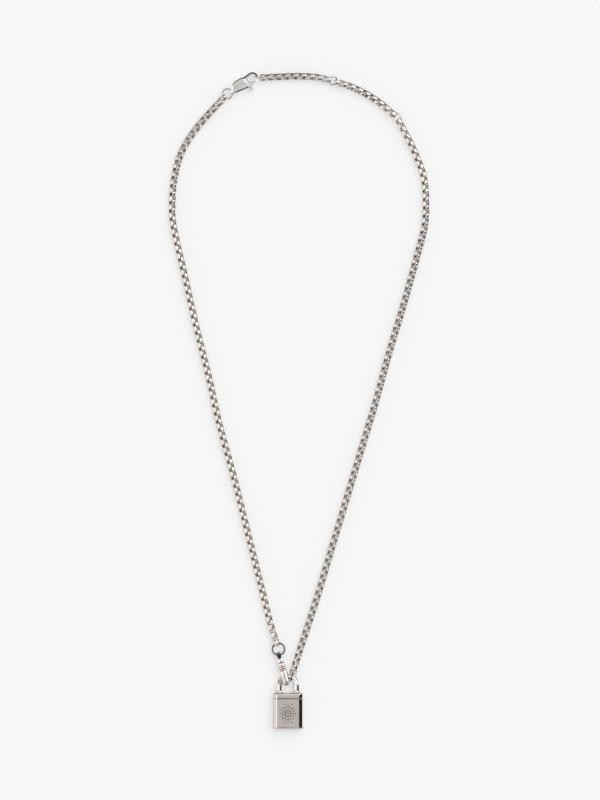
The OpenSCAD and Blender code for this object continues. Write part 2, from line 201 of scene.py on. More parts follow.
def build_world():
    world = bpy.data.worlds.new("studio")
    world.use_nodes = True
    tree = world.node_tree
    tree.nodes.clear()
    ray = node_in(tree, "ShaderNodeLightPath")
    even = node_in(tree, "ShaderNodeMix", data_type="RGBA")
    wire(tree, ray.outputs["Is Camera Ray"], even.inputs["Factor"])
    even.inputs["A"].default_value = grey(EVEN_LIGHT)
    even.inputs["B"].default_value = grey(PALE_ROOM)
    shown = node_in(tree, "ShaderNodeMix", data_type="RGBA")
    wire(tree, ray.outputs["Is Glossy Ray"], shown.inputs["Factor"])
    wire(tree, even.outputs["Result"], shown.inputs["A"])
    wire(tree, panels_seen(tree), shown.inputs["B"])
    sky = node_in(tree, "ShaderNodeBackground")
    wire(tree, shown.outputs["Result"], sky.inputs["Color"])
    out = node_in(tree, "ShaderNodeOutputWorld")
    wire(tree, sky.outputs[0], out.inputs["Surface"])
    world.cycles.sampling_method = "NONE"
    return world


bpy.context.scene.world = build_world()
bpy.context.scene.view_settings.view_transform = "Standard"
bpy.context.scene.view_settings.look = "None"
print("world:", len(bpy.context.scene.world.node_tree.nodes), "nodes")

# %% [markdown]
# ## Sheet and its lamp
# The sheet is matt and pale, and glows a little as a light table does, which keeps its shadows pale. A
# broad lamp at the upper right makes them fall to the lower left. A sun with a wide disc is used, because
# it lights the whole sheet alike, and it is kept out of the reflections, where the key panel stands for
# it. To the steel the sheet is clear, like glass over far white paper, so that the panels reach under the
# edges of each piece.

# %% Lamp
LAMP_BEARING = 48.0
LAMP_HEIGHT = 56.0
LAMP_STRENGTH = 0.74
LAMP_SPREAD = 60.0
lamp_data = bpy.data.lights.new("lamp", "SUN")
lamp_data.energy = LAMP_STRENGTH
lamp_data.angle = math.radians(LAMP_SPREAD)
lamp = linked("lamp", lamp_data)
lamp.rotation_euler = (0.0, math.radians(90.0 - LAMP_HEIGHT), math.radians(LAMP_BEARING))
lamp.visible_glossy = False
lamp.visible_camera = False
print("lamp at bearing", LAMP_BEARING, "and height", LAMP_HEIGHT)

# %% The sheet
SHEET_GLOW = 0.35
SHEET_SIZE = 12.0
SHEET_GREY = 0.90
SHEET_Z = 0.0


def sheet_material():
    material = bpy.data.materials.new("pale_sheet")
    material.use_nodes = True
    tree = material.node_tree
    tree.nodes.clear()
    ray = node_in(tree, "ShaderNodeLightPath")
    matt = node_in(tree, "ShaderNodeBsdfDiffuse")
    matt.inputs["Color"].default_value = grey(SHEET_GREY)
    glow = node_in(tree, "ShaderNodeEmission")
    glow.inputs["Strength"].default_value = SHEET_GLOW
    lit = node_in(tree, "ShaderNodeAddShader")
    wire(tree, matt.outputs[0], lit.inputs[0])
    wire(tree, glow.outputs[0], lit.inputs[1])
    clear = node_in(tree, "ShaderNodeBsdfTransparent")
    choice = node_in(tree, "ShaderNodeMixShader")
    wire(tree, ray.outputs["Is Glossy Ray"], choice.inputs["Fac"])
    wire(tree, lit.outputs[0], choice.inputs[1])
    wire(tree, clear.outputs[0], choice.inputs[2])
    out = node_in(tree, "ShaderNodeOutputMaterial")
    wire(tree, choice.outputs[0], out.inputs["Surface"])
    return material


def build_sheet():
    grid = bmesh.new()
    bmesh.ops.create_grid(grid, x_segments=1, y_segments=1, size=SHEET_SIZE / 2)
    mesh = bpy.data.meshes.new("sheet")
    grid.to_mesh(mesh)
    grid.free()
    mesh.materials.append(sheet_material())
    sheet = linked("sheet", mesh)
    sheet.location.z = SHEET_Z


build_sheet()
print("sheet:", SHEET_SIZE, "m wide")

# %% [markdown]
# ## Steels and enamel
# All the metal is stainless steel, and only its finish differs. Chain links are tumbled, so they keep a
# faint haze, and their inner faces are painted darker as shade. Wire and solid parts are buffed to a mirror
# with very faint swirls, and the two rings by the strap loop get a near black steel, which is painted
# shade. The padlock's face and the clasp's cheeks are brushed one way, which spreads the glints. Each
# finish is one shader with noise on colour, roughness and relief, so it needs no picture and no unwrapping.

# %% Noise and colour for a finish
# nearly all the noise lies between these values
NOISE_RANGE = (0.3, 0.7)


def noise(tree, place, scale, detail, stretch=(1.0, 1.0, 1.0)):
    mapping = node_in(tree, "ShaderNodeMapping")
    mapping.inputs["Scale"].default_value = stretch
    wire(tree, place, mapping.inputs["Vector"])
    made = node_in(tree, "ShaderNodeTexNoise")
    made.inputs["Scale"].default_value = scale
    made.inputs["Detail"].default_value = detail
    wire(tree, mapping.outputs[0], made.inputs["Vector"])
    return made.outputs["Fac"]


def spread(tree, value, low, high):
    made = node_in(tree, "ShaderNodeMapRange")
    wire(tree, value, made.inputs["Value"])
    for name, number in zip(("From Min", "From Max", "To Min", "To Max"), (*NOISE_RANGE, low, high)):
        made.inputs[name].default_value = number
    return made.outputs["Result"]


def tint_between(tree, factor, dark, light):
    made = node_in(tree, "ShaderNodeMix", data_type="RGBA")
    wire(tree, factor, made.inputs["Factor"])
    made.inputs["A"].default_value = (*dark, 1.0)
    made.inputs["B"].default_value = (*light, 1.0)
    return made.outputs["Result"]


def new_finish(name, metal=1.0):
    material = bpy.data.materials.new(name)
    material.use_nodes = True
    tree = material.node_tree
    shader = tree.nodes["Principled BSDF"]
    shader.inputs["Metallic"].default_value = metal
    place = node_in(tree, "ShaderNodeTexCoord").outputs["Object"]
    return material, tree, shader, place


def relief(tree, shader, height, strength, distance):
    bump = node_in(tree, "ShaderNodeBump")
    bump.inputs["Strength"].default_value = strength
    bump.inputs["Distance"].default_value = distance
    wire(tree, height, bump.inputs["Height"])
    wire(tree, bump.outputs[0], shader.inputs["Normal"])


# %% Buffed steel, and the links' steel with painted shade on its inner faces
HAZE_SCALE = 420.0
GLOSS_SCALE = 900.0
SWIRL_SCALE = 1500.0
SWIRL_STRETCH = (1.0, 4.0, 1.0)
SWIRL_STRENGTH = 0.12
SWIRL_DEPTH = 0.00004
# painted shade for the inner faces of the links, standing in for the darkness inside them
INNER_SHADE = (0.30, 0.285, 0.27, 1.0)


def buffed_steel(name, dark, light, smooth, dull):
    material, tree, shader, place = new_finish(name)
    haze = noise(tree, place, HAZE_SCALE, 3.0)
    wire(tree, tint_between(tree, haze, dark, light), shader.inputs["Base Color"])
    wire(tree, spread(tree, noise(tree, place, GLOSS_SCALE, 4.0), smooth, dull), shader.inputs["Roughness"])
    swirls = noise(tree, place, SWIRL_SCALE, 3.0, SWIRL_STRETCH)
    relief(tree, shader, swirls, SWIRL_STRENGTH, SWIRL_DEPTH)
    return material


def with_inner_shade(material):
    """The same steel with painted shade on the inner faces of each link."""
    tree = material.node_tree
    shader = tree.nodes["Principled BSDF"]
    clean = shader.inputs["Base Color"].links[0].from_socket
    inside = node_in(tree, "ShaderNodeAttribute", attribute_name="inside").outputs["Fac"]
    shade_mix = node_in(tree, "ShaderNodeMix", data_type="RGBA")
    wire(tree, inside, shade_mix.inputs["Factor"])
    wire(tree, clean, shade_mix.inputs["A"])
    shade_mix.inputs["B"].default_value = INNER_SHADE
    wire(tree, shade_mix.outputs["Result"], shader.inputs["Base Color"])
    return material


# %% Brushed steel, and steel that a graver has cut
GRAIN_SCALE = 1000.0
CLOUD_SCALE = 160.0
BRUSHED_GLOSS = (0.40, 0.54)
GRAIN_STRENGTH = 0.5
GRAIN_DEPTH = 0.00002
MOTTLE_SCALE = 900.0
CUT_GLOSS = (0.25, 0.4)


def brushed_steel(name, grain, dark, light):
    material, tree, shader, place = new_finish(name)
    lines = noise(tree, place, GRAIN_SCALE, 4.0, grain)
    cloud = noise(tree, place, CLOUD_SCALE, 2.0)
    mixed = sum_of(tree, "MULTIPLY", sum_of(tree, "ADD", lines, cloud), 0.5)
    wire(tree, tint_between(tree, mixed, dark, light), shader.inputs["Base Color"])
    wire(tree, spread(tree, lines, *BRUSHED_GLOSS), shader.inputs["Roughness"])
    relief(tree, shader, lines, GRAIN_STRENGTH, GRAIN_DEPTH)
    return material


def cut_steel(name, dark, light):
    material, tree, shader, place = new_finish(name)
    mottle = noise(tree, place, MOTTLE_SCALE, 3.0)
    wire(tree, tint_between(tree, mottle, dark, light), shader.inputs["Base Color"])
    wire(tree, spread(tree, mottle, *CUT_GLOSS), shader.inputs["Roughness"])
    return material


# %% Fired enamel
DEPTH_SCALE = 700.0
GLAZE_SCALE = 500.0
GLAZE_GLOSS = (0.08, 0.18)
GLAZE_COAT = 0.8
COAT_GLOSS = 0.04
RIPPLE_SCALE = 450.0
RIPPLE_STRENGTH = 0.08
RIPPLE_DEPTH = 0.00005


def fired_enamel(name, dark, light, metal):
    """Glassy enamel. With some metal share it is the clear kind, which shows the steel under it."""
    material, tree, shader, place = new_finish(name, metal)
    depth = noise(tree, place, DEPTH_SCALE, 2.0)
    wire(tree, tint_between(tree, depth, dark, light), shader.inputs["Base Color"])
    glaze = noise(tree, place, GLAZE_SCALE, 3.0)
    wire(tree, spread(tree, glaze, *GLAZE_GLOSS), shader.inputs["Roughness"])
    shader.inputs["Coat Weight"].default_value = GLAZE_COAT
    shader.inputs["Coat Roughness"].default_value = COAT_GLOSS
    relief(tree, shader, noise(tree, place, RIPPLE_SCALE, 1.0), RIPPLE_STRENGTH, RIPPLE_DEPTH)
    return material


# %% The finishes, each from its darker to its lighter tint
# the links' steel carries painted shade on its inner faces
LINK_STEEL = with_inner_shade(buffed_steel("link_steel", (0.65, 0.61, 0.58), (0.79, 0.75, 0.72), 0.08, 0.18))
WIRE_STEEL = buffed_steel("wire_steel", (0.62, 0.59, 0.565), (0.74, 0.705, 0.68), 0.06, 0.12)
# the two rings by the strap loop: a near black steel that is painted shade
RING_SHADE_STEEL = buffed_steel("ring_painted_shade", (0.11, 0.105, 0.10), (0.16, 0.15, 0.145), 0.04, 0.09)
MIRROR_STEEL = buffed_steel("mirror_steel", (0.69, 0.655, 0.63), (0.78, 0.745, 0.72), 0.04, 0.09)
CLASP_STEEL = buffed_steel("clasp_steel", (0.86, 0.85, 0.84), (0.95, 0.94, 0.93), 0.04, 0.09)
CASE_STEEL = buffed_steel("case_steel", (0.58, 0.55, 0.53), (0.65, 0.615, 0.595), 0.04, 0.09)
# the strap's neck and the walls of the enamel bed: a near black steel that is painted shade
NECK_SHADE_STEEL = buffed_steel("neck_painted_shade", (0.05, 0.045, 0.045), (0.08, 0.075, 0.07), 0.05, 0.10)
BRUSHED_FACE = brushed_steel("brushed_face", (0.08, 3.0, 1.0), (0.50, 0.462, 0.44), (0.665, 0.617, 0.59))
CLASP_PANEL = brushed_steel("clasp_panel", (2.0, 0.3, 1.0), (0.46, 0.462, 0.452), (0.80, 0.80, 0.785))
CUT_STEEL = cut_steel("cut_steel", (0.13, 0.12, 0.115), (0.27, 0.255, 0.245))
# the seam's groove: a darker steel that is painted shade
SEAM_SHADE_STEEL = cut_steel("seam_painted_shade", (0.26, 0.245, 0.235), (0.38, 0.36, 0.345))
RED_ENAMEL = fired_enamel("bar_enamel", (0.17, 0.016, 0.026), (0.30, 0.03, 0.045), 0.0)
ROSE_ENAMEL = fired_enamel("rose_enamel", (0.84, 0.72, 0.72), (0.93, 0.83, 0.83), 0.7)
FINISHES = (
    LINK_STEEL, WIRE_STEEL, RING_SHADE_STEEL, MIRROR_STEEL, CLASP_STEEL, CASE_STEEL, NECK_SHADE_STEEL,
    BRUSHED_FACE, CLASP_PANEL, CUT_STEEL, SEAM_SHADE_STEEL, RED_ENAMEL, ROSE_ENAMEL,
)
print("finishes:", ", ".join(finish.name for finish in FINISHES))

# %% [markdown]
# ## Putting a piece in the frame
# Each piece rides on the body that carries it and stands for its node. A helper says both at once, so
# that no piece is forgotten. Links, wires and blanks are all made of loops of points, and the faces between
# neighbouring loops follow one rule. From here on lengths are in millimetres and angles in degrees until a
# piece is set in place.

# %% Place helper
def make_object(name, verts, faces, material):
    mesh = bpy.data.meshes.new(name)
    mesh.from_pydata([tuple(v) for v in verts], [], faces)
    mesh.materials.append(material)
    mesh.update()
    mesh.shade_smooth()
    return linked(name, mesh)


def seat_piece(piece, node, body="necklace"):
    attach(piece, body)
    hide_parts(node)
    piece.data.calc_loop_triangles()
    print(piece.name, "has", len(piece.data.loop_triangles), "triangles")


def middle_of(node):
    low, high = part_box(node)
    return (Vector(low) + Vector(high)) / 2


# %% Faces between loops of points
def faces_between(loops, points, closed=False):
    """Four-sided faces from each loop to the next, and from the last to the first where closed."""
    faces = []
    for i in range(loops if closed else loops - 1):
        for k in range(points):
            j = (i + 1) % loops
            m = (k + 1) % points
            faces.append((i * points + k, j * points + k, j * points + m, i * points + m))
    return faces


# %% [markdown]
# ## Box chain
# A round box chain is made of short bands, each bent into a square link and soldered, and every link is
# turned a quarter from the last. The outside is then rounded, so that the chain feels like a cord. One
# link could be bevelled by hand and arrayed along a curve. Sweeping a band section round a square by
# formula gives clean quads and lets every link be placed where its route and its two end rings ask for it.
# The links of a strand are joined into one mesh.

# %% The square that a link is bent to
CHAIN_R = 1.4
# 2 would give a circle, and a large number a sharp square
SQUARENESS = 3.6
PATH_STEPS = 28


def square_path(half):
    """Points and outward directions round a square with full corners and slightly bowed sides, x and y."""
    points = []
    outward = []
    for step in range(PATH_STEPS):
        a = 2 * math.pi * (step + 0.5) / PATH_STEPS
        x, y = (math.copysign(abs(v) ** (2 / SQUARENESS), v) for v in (math.cos(a), math.sin(a)))
        points.append(Vector((half * x, half * y)))
        steep = SQUARENESS - 1
        direction = Vector((math.copysign(abs(x) ** steep, x), math.copysign(abs(y) ** steep, y)))
        outward.append(direction.normalized())
    return points, outward


corner = max(point.length for point in square_path(CHAIN_R)[0])
print("a link is", 2 * CHAIN_R, "mm across its sides and", round(2 * corner, 2), "mm across its corners")

# %% One link
LINK_WALL = 0.46
LINK_BAND = 1.6
# places across the band where its dome is met, and its eased edge
DOME_SPOTS = (-0.5, -0.17, 0.17, 0.5)
EDGE_R = 0.1
EDGE_LIFT = 0.02
EDGE_TURN = 0.4
# how much of the painted inner shade reaches the inner edge
EDGE_SHARE = 0.1


def band_section():
    """The band across: (outwards, sideways, inside share), flat inside, domed outside, eased edges."""
    half = LINK_BAND / 2
    inner = -LINK_WALL
    edge_out = math.sqrt(CHAIN_R**2 - half**2) - CHAIN_R
    edge = [
        (edge_out + EDGE_LIFT, half - EDGE_R, 0.0),
        (edge_out - EDGE_R * EDGE_TURN, half, 0.0),
        (inner + EDGE_R * EDGE_TURN, half, EDGE_SHARE),
        (inner, half - EDGE_R, 1.0),
    ]
    section = [(math.sqrt(CHAIN_R**2 - z**2) - CHAIN_R, z, 0.0) for z in DOME_SPOTS]
    section += edge + [(inner, 0.0, 1.0)]
    section += [(out, -z, share) for out, z, share in reversed(edge)]
    return section


def build_link():
    path, outward = square_path(CHAIN_R)
    section = band_section()
    verts = []
    inside = []
    for point, direction in zip(path, outward):
        for out, side, share in section:
            at = point + direction * out
            verts.append((at.x, at.y, side))
            inside.append(share)
    faces = faces_between(len(path), len(section), closed=True)
    return np.array(verts), np.array(faces), np.array(inside)


LINK = build_link()
print("one link:", len(LINK[0]), "points,", len(LINK[1]), "faces")

# %% [markdown]
# ## Where the rings lie
# The chain's end links hold rings, so the rings come first in the sums. Their middles are read from the
# frame, and each end link then stands a fixed way out from its ring: a link that holds a flat ring stands
# upright, and a link that holds an upright ring lies flat.

# %% Rings and the links that hold them
RINGS = {
    # node: mean radius, wire, heading, tilt in degrees, upright or not
    "ring_tail": (1.95, 0.70, 0.0, (0.0, 0.0), False),
    "ring_hook": (1.67, 0.50, -5.0, (0.0, 0.0), True),
    "ring_size_a": (1.65, 0.50, -30.0, (0.0, 20.0), False),
    "ring_size_b": (1.65, 0.50, 0.0, (0.0, 0.0), False),
    "ring_front": (2.44, 0.62, 0.0, (-15.3, 0.0), False),
    "ring_lock": (1.80, 0.50, 74.0, (0.0, 0.0), True),
}
# from the middle of the ring's wire out to the end link's middle
FLAT_HOLD = 0.3
UPRIGHT_HOLD = 0.28


def link_beyond(node, bearing, z):
    mean, _, _, tilt, stands = RINGS[node]
    lean = math.cos(math.radians(tilt[0] + tilt[1]))
    out = mean + UPRIGHT_HOLD if stands else mean * lean + FLAT_HOLD
    a = math.radians(bearing)
    middle = middle_of(node) / MM
    return (middle.x + out * math.cos(a), middle.y + out * math.sin(a), z)


END = {
    # ring, bearing of the end link from it, height of the link's middle
    "front": link_beyond("ring_front", 106, 1.4),
    "tail": link_beyond("ring_tail", 228, 1.5),
    "hook": link_beyond("ring_hook", -5, 1.8),
    "size_1": link_beyond("ring_size_a", 168, 1.42),
    "size_2": link_beyond("ring_size_a", -20, 1.4),
    "size_3": link_beyond("ring_size_b", 139, 1.4),
    "size_4": link_beyond("ring_size_b", -62, 1.4),
    "lock": link_beyond("ring_lock", 74, 1.9),
}
print("end links stand at", {name: tuple(round(v, 2) for v in place) for name, place in END.items()})

# %% [markdown]
# ## Routes of the four strands
# A chain that is laid down by hand settles into long easy curves. Each route is a few points chosen along
# the photograph's curve, with a smooth curve through them, and links set at even steps along it.

# %% Routes
# the points were traced a little off, and are moved by this much
SHIFT = (0.33, 0.02)


def laid(points):
    return [(x + SHIFT[0], y + SHIFT[1], z) for x, y, z in points]


LEFT_ROUTE = [END["front"]] + laid([
    (-12, -88, 1.4), (-16.5, -70, 1.4), (-21.5, -50, 1.4), (-26.5, -30, 1.4), (-32, -10, 1.4),
    (-36.5, 10, 1.4), (-41.5, 30, 1.4), (-46, 50, 1.4), (-50.5, 70, 1.4), (-51, 80, 1.4),
    (-50, 90, 1.4), (-47, 100, 1.4), (-40.5, 110, 1.4),
]) + [END["tail"]]
RIGHT_ROUTE = [END["size_4"]] + laid([
    (45.5, 100.5, 1.4), (49.5, 90, 1.4), (50.5, 80, 1.4), (50, 70, 1.4), (47.5, 60, 1.4),
    (42, 40, 1.4), (36, 20, 1.4), (30.5, 0, 1.4), (24.5, -20, 1.4), (18.5, -40, 1.4),
    (12.5, -60, 1.4), (6.5, -80, 1.4), (0, -100, 1.5),
]) + [END["lock"]]
SIZE_A_ROUTE = [END["hook"]] + laid([
    (-8, 129.6, 1.5), (-2, 129.8, 1.42), (6, 129.5, 1.42),
]) + [END["size_1"]]
SIZE_B_ROUTE = [END["size_2"]] + laid([
    (20, 125.8, 1.4), (26, 123, 1.4), (32, 119.2, 1.4),
]) + [END["size_3"]]
ROUTES = (LEFT_ROUTE, RIGHT_ROUTE, SIZE_A_ROUTE, SIZE_B_ROUTE)
print("routes have", [len(route) for route in ROUTES], "points")

# %% A smooth curve through a route
STEPS_PER_SPAN = 10


def smooth_route(route):
    """A curve through the points without a kink, and the distance along it."""
    p = np.array(route, float)
    p = np.vstack([2 * p[0] - p[1], p, 2 * p[-1] - p[-2]])
    curve = []
    for i in range(1, len(p) - 2):
        a, b, c, d = p[i - 1 : i + 3]
        for k in range(STEPS_PER_SPAN):
            t = k / STEPS_PER_SPAN
            place = 2 * b + t * (c - a)
            place = place + t**2 * (2 * a - 5 * b + 4 * c - d)
            place = place + t**3 * (3 * b - a - 3 * c + d)
            curve.append(0.5 * place)
    curve.append(p[-2])
    curve = np.array(curve)
    distance = np.concatenate([[0], np.cumsum(np.linalg.norm(np.diff(curve, axis=0), axis=1))])
    return curve, distance


def point_along(curve, distance, s):
    i = min(max(int(np.searchsorted(distance, s, side="right")) - 1, 0), len(distance) - 2)
    share = (s - distance[i]) / (distance[i + 1] - distance[i])
    return curve[i] + (curve[i + 1] - curve[i]) * share


print("the routes are", [float(round(smooth_route(route)[1][-1], 1)) for route in ROUTES], "mm long")

# %% [markdown]
# ## Laying the links
# Along a strand the links lie on their corners, at 45 degrees to the sheet, which shows two staggered
# columns of domes from above. Near an end ring the chain twists a little over eight links, until the last
# one lets its ring through. A real chain never lies quite evenly, so each link is rolled and tipped by a
# hair, always the same for the same strand.

# %% Strands of links
LINK_PITCH = 1.66
ON_CORNER = 45.0
QUARTER = 90.0
UPRIGHT = 90.0
FLAT = 0.0
TWIST_LINKS = 8
# a link points from this far behind its middle to as far before it
LOOK = 0.6
ROLL_LOOSE = 1.5
TIP_LOOSE = 0.8


def turn_to(end, roll):
    """The least turn that brings a link to the plane its ring asks for, within the lean the ring allows."""
    plane, lean = end
    d = (plane - roll) % 180
    d = d - 180 if d > 90 else d
    return math.copysign(max(abs(d) - lean, 0), d)


def turned_by(roll, tip, yaw):
    return Matrix.Rotation(yaw, 3, "Z") @ Matrix.Rotation(tip, 3, "Y") @ Matrix.Rotation(roll, 3, "X")


def links_along(curve, distance, count, first_turn, last_turn, seed):
    """The place and the turn of each link of a strand."""
    loose = np.random.default_rng(seed)
    for i in range(count + 1):
        s = distance[-1] * i / count
        along = point_along(curve, distance, s + LOOK) - point_along(curve, distance, s - LOOK)
        along = along / np.linalg.norm(along)
        roll = ON_CORNER + QUARTER * i + first_turn * max(0, 1 - i / TWIST_LINKS)
        roll += last_turn * max(0, 1 - (count - i) / TWIST_LINKS)
        free = 0.0 if i in (0, count) else 1.0
        roll += free * ROLL_LOOSE * loose.uniform(-1, 1)
        tip = -math.asin(along[2]) + free * math.radians(TIP_LOOSE) * loose.uniform(-1, 1)
        yaw = math.atan2(along[1], along[0]) + free * math.radians(TIP_LOOSE) * loose.uniform(-1, 1)
        yield point_along(curve, distance, s), np.array(turned_by(math.radians(roll), tip, yaw))


def strand(name, route, first_end, last_end, seed):
    curve, distance = smooth_route(route)
    count = round(distance[-1] / LINK_PITCH)
    first_turn = turn_to(first_end, ON_CORNER)
    last_turn = turn_to(last_end, ON_CORNER + QUARTER * count)
    link_verts, link_faces, inside = LINK
    verts = []
    faces = []
    for place, turn in links_along(curve, distance, count, first_turn, last_turn, seed):
        faces.append(link_faces + len(verts) * len(link_verts))
        verts.append(link_verts @ turn.T + place)
    made = make_object(name, np.vstack(verts) * MM, np.vstack(faces).tolist(), LINK_STEEL)
    share = made.data.attributes.new("inside", "FLOAT", "POINT")
    share.data.foreach_set("value", np.tile(inside, count + 1))
    print(name, "has", count + 1, "links")
    return made


# %% The four strands
STRANDS = [
    # piece, node, route, and for each end the plane that suits its ring and the lean from it that clears it
    ("left_strand", "chain_left", LEFT_ROUTE, (UPRIGHT, 10), (UPRIGHT, 17)),
    ("right_strand", "chain_right", RIGHT_ROUTE, (UPRIGHT, 26), (FLAT, 22)),
    ("size_strand_a", "chain_size_a", SIZE_A_ROUTE, (FLAT, 26), (UPRIGHT, 8)),
    ("size_strand_b", "chain_size_b", SIZE_B_ROUTE, (UPRIGHT, 5), (UPRIGHT, 26)),
]
for seed, (name, node, route, first_end, last_end) in enumerate(STRANDS):
    seat_piece(strand(name, route, first_end, last_end, seed), node)

# %% [markdown]
# ## Jump rings
# The rings are round wire, cut from a coil and closed so that the two ends meet. A torus would do, but the
# hairline where the ends meet is part of how such a ring looks, so each one is a swept wire with two
# faintly rounded ends.

# %% Rings
RING_STEPS = 72
WIRE_STEPS = 14
SPLIT_MM = 0.03
SPLIT_BEARING = {
    "ring_tail": 110, "ring_hook": 60, "ring_size_a": 70,
    "ring_size_b": 40, "ring_front": 20, "ring_lock": 120,
}
# distance from the cut end, and share of the full thickness there
CUT_END = ((0.0, 0.82), (0.02, 0.95), (0.05, 1.0))


def wire_ring(mean, wire_d, split_at):
    half_gap = SPLIT_MM / 2 / mean
    verts = []
    start = math.radians(split_at) + half_gap
    sweep = 2 * math.pi - 2 * half_gap
    stations = [(way / mean, size) for way, size in CUT_END]
    stations += [(sweep * k / RING_STEPS, 1.0) for k in range(1, RING_STEPS)]
    stations += [(sweep - way / mean, size) for way, size in reversed(CUT_END)]
    for turn, size in stations:
        a = start + turn
        for k in range(WIRE_STEPS):
            b = 2 * math.pi * k / WIRE_STEPS
            out = mean + wire_d / 2 * size * math.cos(b)
            verts.append((out * math.cos(a), out * math.sin(a), wire_d / 2 * size * math.sin(b)))
    faces = faces_between(len(stations), WIRE_STEPS)
    last = (len(stations) - 1) * WIRE_STEPS
    faces.append(tuple(range(WIRE_STEPS)))
    faces.append(tuple(last + k for k in reversed(range(WIRE_STEPS))))
    return verts, faces


# %% The six rings in place
# rings whose steel is painted near black as shade
DARK_RINGS = ("ring_front", "ring_lock")


def ring_turn(heading, tilt, stands):
    turn = Matrix.Rotation(math.radians(heading), 3, "Z")
    turn = turn @ Matrix.Rotation(math.radians(tilt[1]), 3, "Y")
    turn = turn @ Matrix.Rotation(math.radians(tilt[0]), 3, "X")
    return turn @ Matrix.Rotation(math.radians(90), 3, "X") if stands else turn


for node, (mean, wire_d, heading, tilt, stands) in RINGS.items():
    verts, faces = wire_ring(mean, wire_d, SPLIT_BEARING[node])
    turn = ring_turn(heading, tilt, stands)
    middle = middle_of(node)
    placed = [middle + turn @ Vector(v) * MM for v in verts]
    finish = RING_SHADE_STEEL if node in DARK_RINGS else WIRE_STEEL
    seat_piece(make_object("wire_" + node, placed, faces, finish), node)

# %% [markdown]
# ## Tools for solid parts
# The cast and machined parts are made as a jeweller would: a blank is formed, then drilled and cut, and
# its edges are eased last. Sections are worked out in millimetres, cut with boolean modifiers, which are
# turned into plain mesh at once, and only then scaled and set in place.

# %% Blanks, cuts and eased edges
SAME_POINT = 1e-5
# only edges that bend more than this are eased
EASED_FROM = 50.0


def blank(name, verts, faces):
    mesh = bpy.data.meshes.new(name)
    mesh.from_pydata([tuple(v) for v in verts], [], faces)
    mended = bmesh.new()
    mended.from_mesh(mesh)
    bmesh.ops.remove_doubles(mended, verts=mended.verts, dist=SAME_POINT)
    bmesh.ops.recalc_face_normals(mended, faces=mended.faces)
    mended.to_mesh(mesh)
    mended.free()
    return linked(name, mesh)


def settle(piece):
    """Turns the piece's modifiers into plain mesh."""
    shown = piece.evaluated_get(bpy.context.evaluated_depsgraph_get())
    mesh = bpy.data.meshes.new_from_object(shown)
    piece.modifiers.clear()
    piece.data = mesh
    return piece


def joined_by(operation, piece, *others):
    for other in others:
        step = piece.modifiers.new(operation, "BOOLEAN")
        step.operation = operation
        step.solver = "EXACT"
        step.object = other
        settle(piece)
        bpy.data.objects.remove(other)
    return piece


def ease(piece, width, steps):
    """Rounds the piece's sharp edges."""
    step = piece.modifiers.new("ease", "BEVEL")
    step.width = width
    step.segments = steps
    step.limit_method = "ANGLE"
    step.angle_limit = math.radians(EASED_FROM)
    step.use_clamp_overlap = True
    return settle(piece)


def moved(piece, x, y, z):
    piece.data.transform(Matrix.Translation((x, y, z)))
    return piece


# %% Prisms
# how far a cutter reaches, past any part it is used on
FAR = 3.0


def prism(name, outline, low, high, axis="Z"):
    """An outline pushed along an axis. For Y the outline is (x, z), and it runs from low to high along y."""
    count = len(outline)
    verts = [(x, y, low) for x, y in outline] + [(x, y, high) for x, y in outline]
    faces = [tuple(reversed(range(count))), tuple(range(count, 2 * count))]
    for i in range(count):
        j = (i + 1) % count
        faces.append((i, j, count + j, count + i))
    if axis == "Y":
        verts = [(x, -z, y) for x, y, z in verts]
    return blank(name, verts, faces)


def box_blank(name, low, high):
    outline = [(low[0], low[1]), (high[0], low[1]), (high[0], high[1]), (low[0], high[1])]
    return prism(name, outline, low[2], high[2])


# %% Lathe work
def lathe(name, profile, steps=48, axis="Z"):
    """A closed solid turned from (radius, height) pairs, the first and last of them on the axis."""
    verts = [(0, 0, profile[0][1])]
    for radius, height in profile[1:-1]:
        for k in range(steps):
            a = 2 * math.pi * k / steps
            verts.append((radius * math.cos(a), radius * math.sin(a), height))
    verts.append((0, 0, profile[-1][1]))
    faces = []
    last = len(verts) - 1
    rings = len(profile) - 2
    for k in range(steps):
        m = (k + 1) % steps
        faces.append((0, 1 + m, 1 + k))
        for i in range(rings - 1):
            low = 1 + i * steps
            faces.append((low + k, low + m, low + steps + m, low + steps + k))
        faces.append((last, 1 + (rings - 1) * steps + k, 1 + (rings - 1) * steps + m))
    if axis == "Y":
        verts = [(x, z, -y) for x, y, z in verts]
    return blank(name, verts, faces)


def spindle(name, head, steps=48, axis="Z"):
    """A solid turned from its upper half, given down to up, and the mirror image of that half."""
    return lathe(name, [(r, -z) for r, z in reversed(head)] + head, steps, axis)


def drill(name, radius, steps, axis="Z"):
    return spindle(name, [(radius, FAR), (0, FAR)], steps, axis)


# %% Skins, arcs and rounded corners
def skin(name, loops):
    """A closed solid through loops with as many points each, with a flat face over the first and last."""
    count = len(loops[0])
    verts = [point for loop in loops for point in loop]
    faces = [tuple(range(count))] + faces_between(len(loops), count)
    faces.append(tuple((len(loops) - 1) * count + k for k in range(count)))
    return blank(name, verts, faces)


def arc(cx, cy, r, start, end, steps):
    turns = [math.radians(start + (end - start) * k / steps) for k in range(steps + 1)]
    return [(cx + r * math.cos(a), cy + r * math.sin(a)) for a in turns]


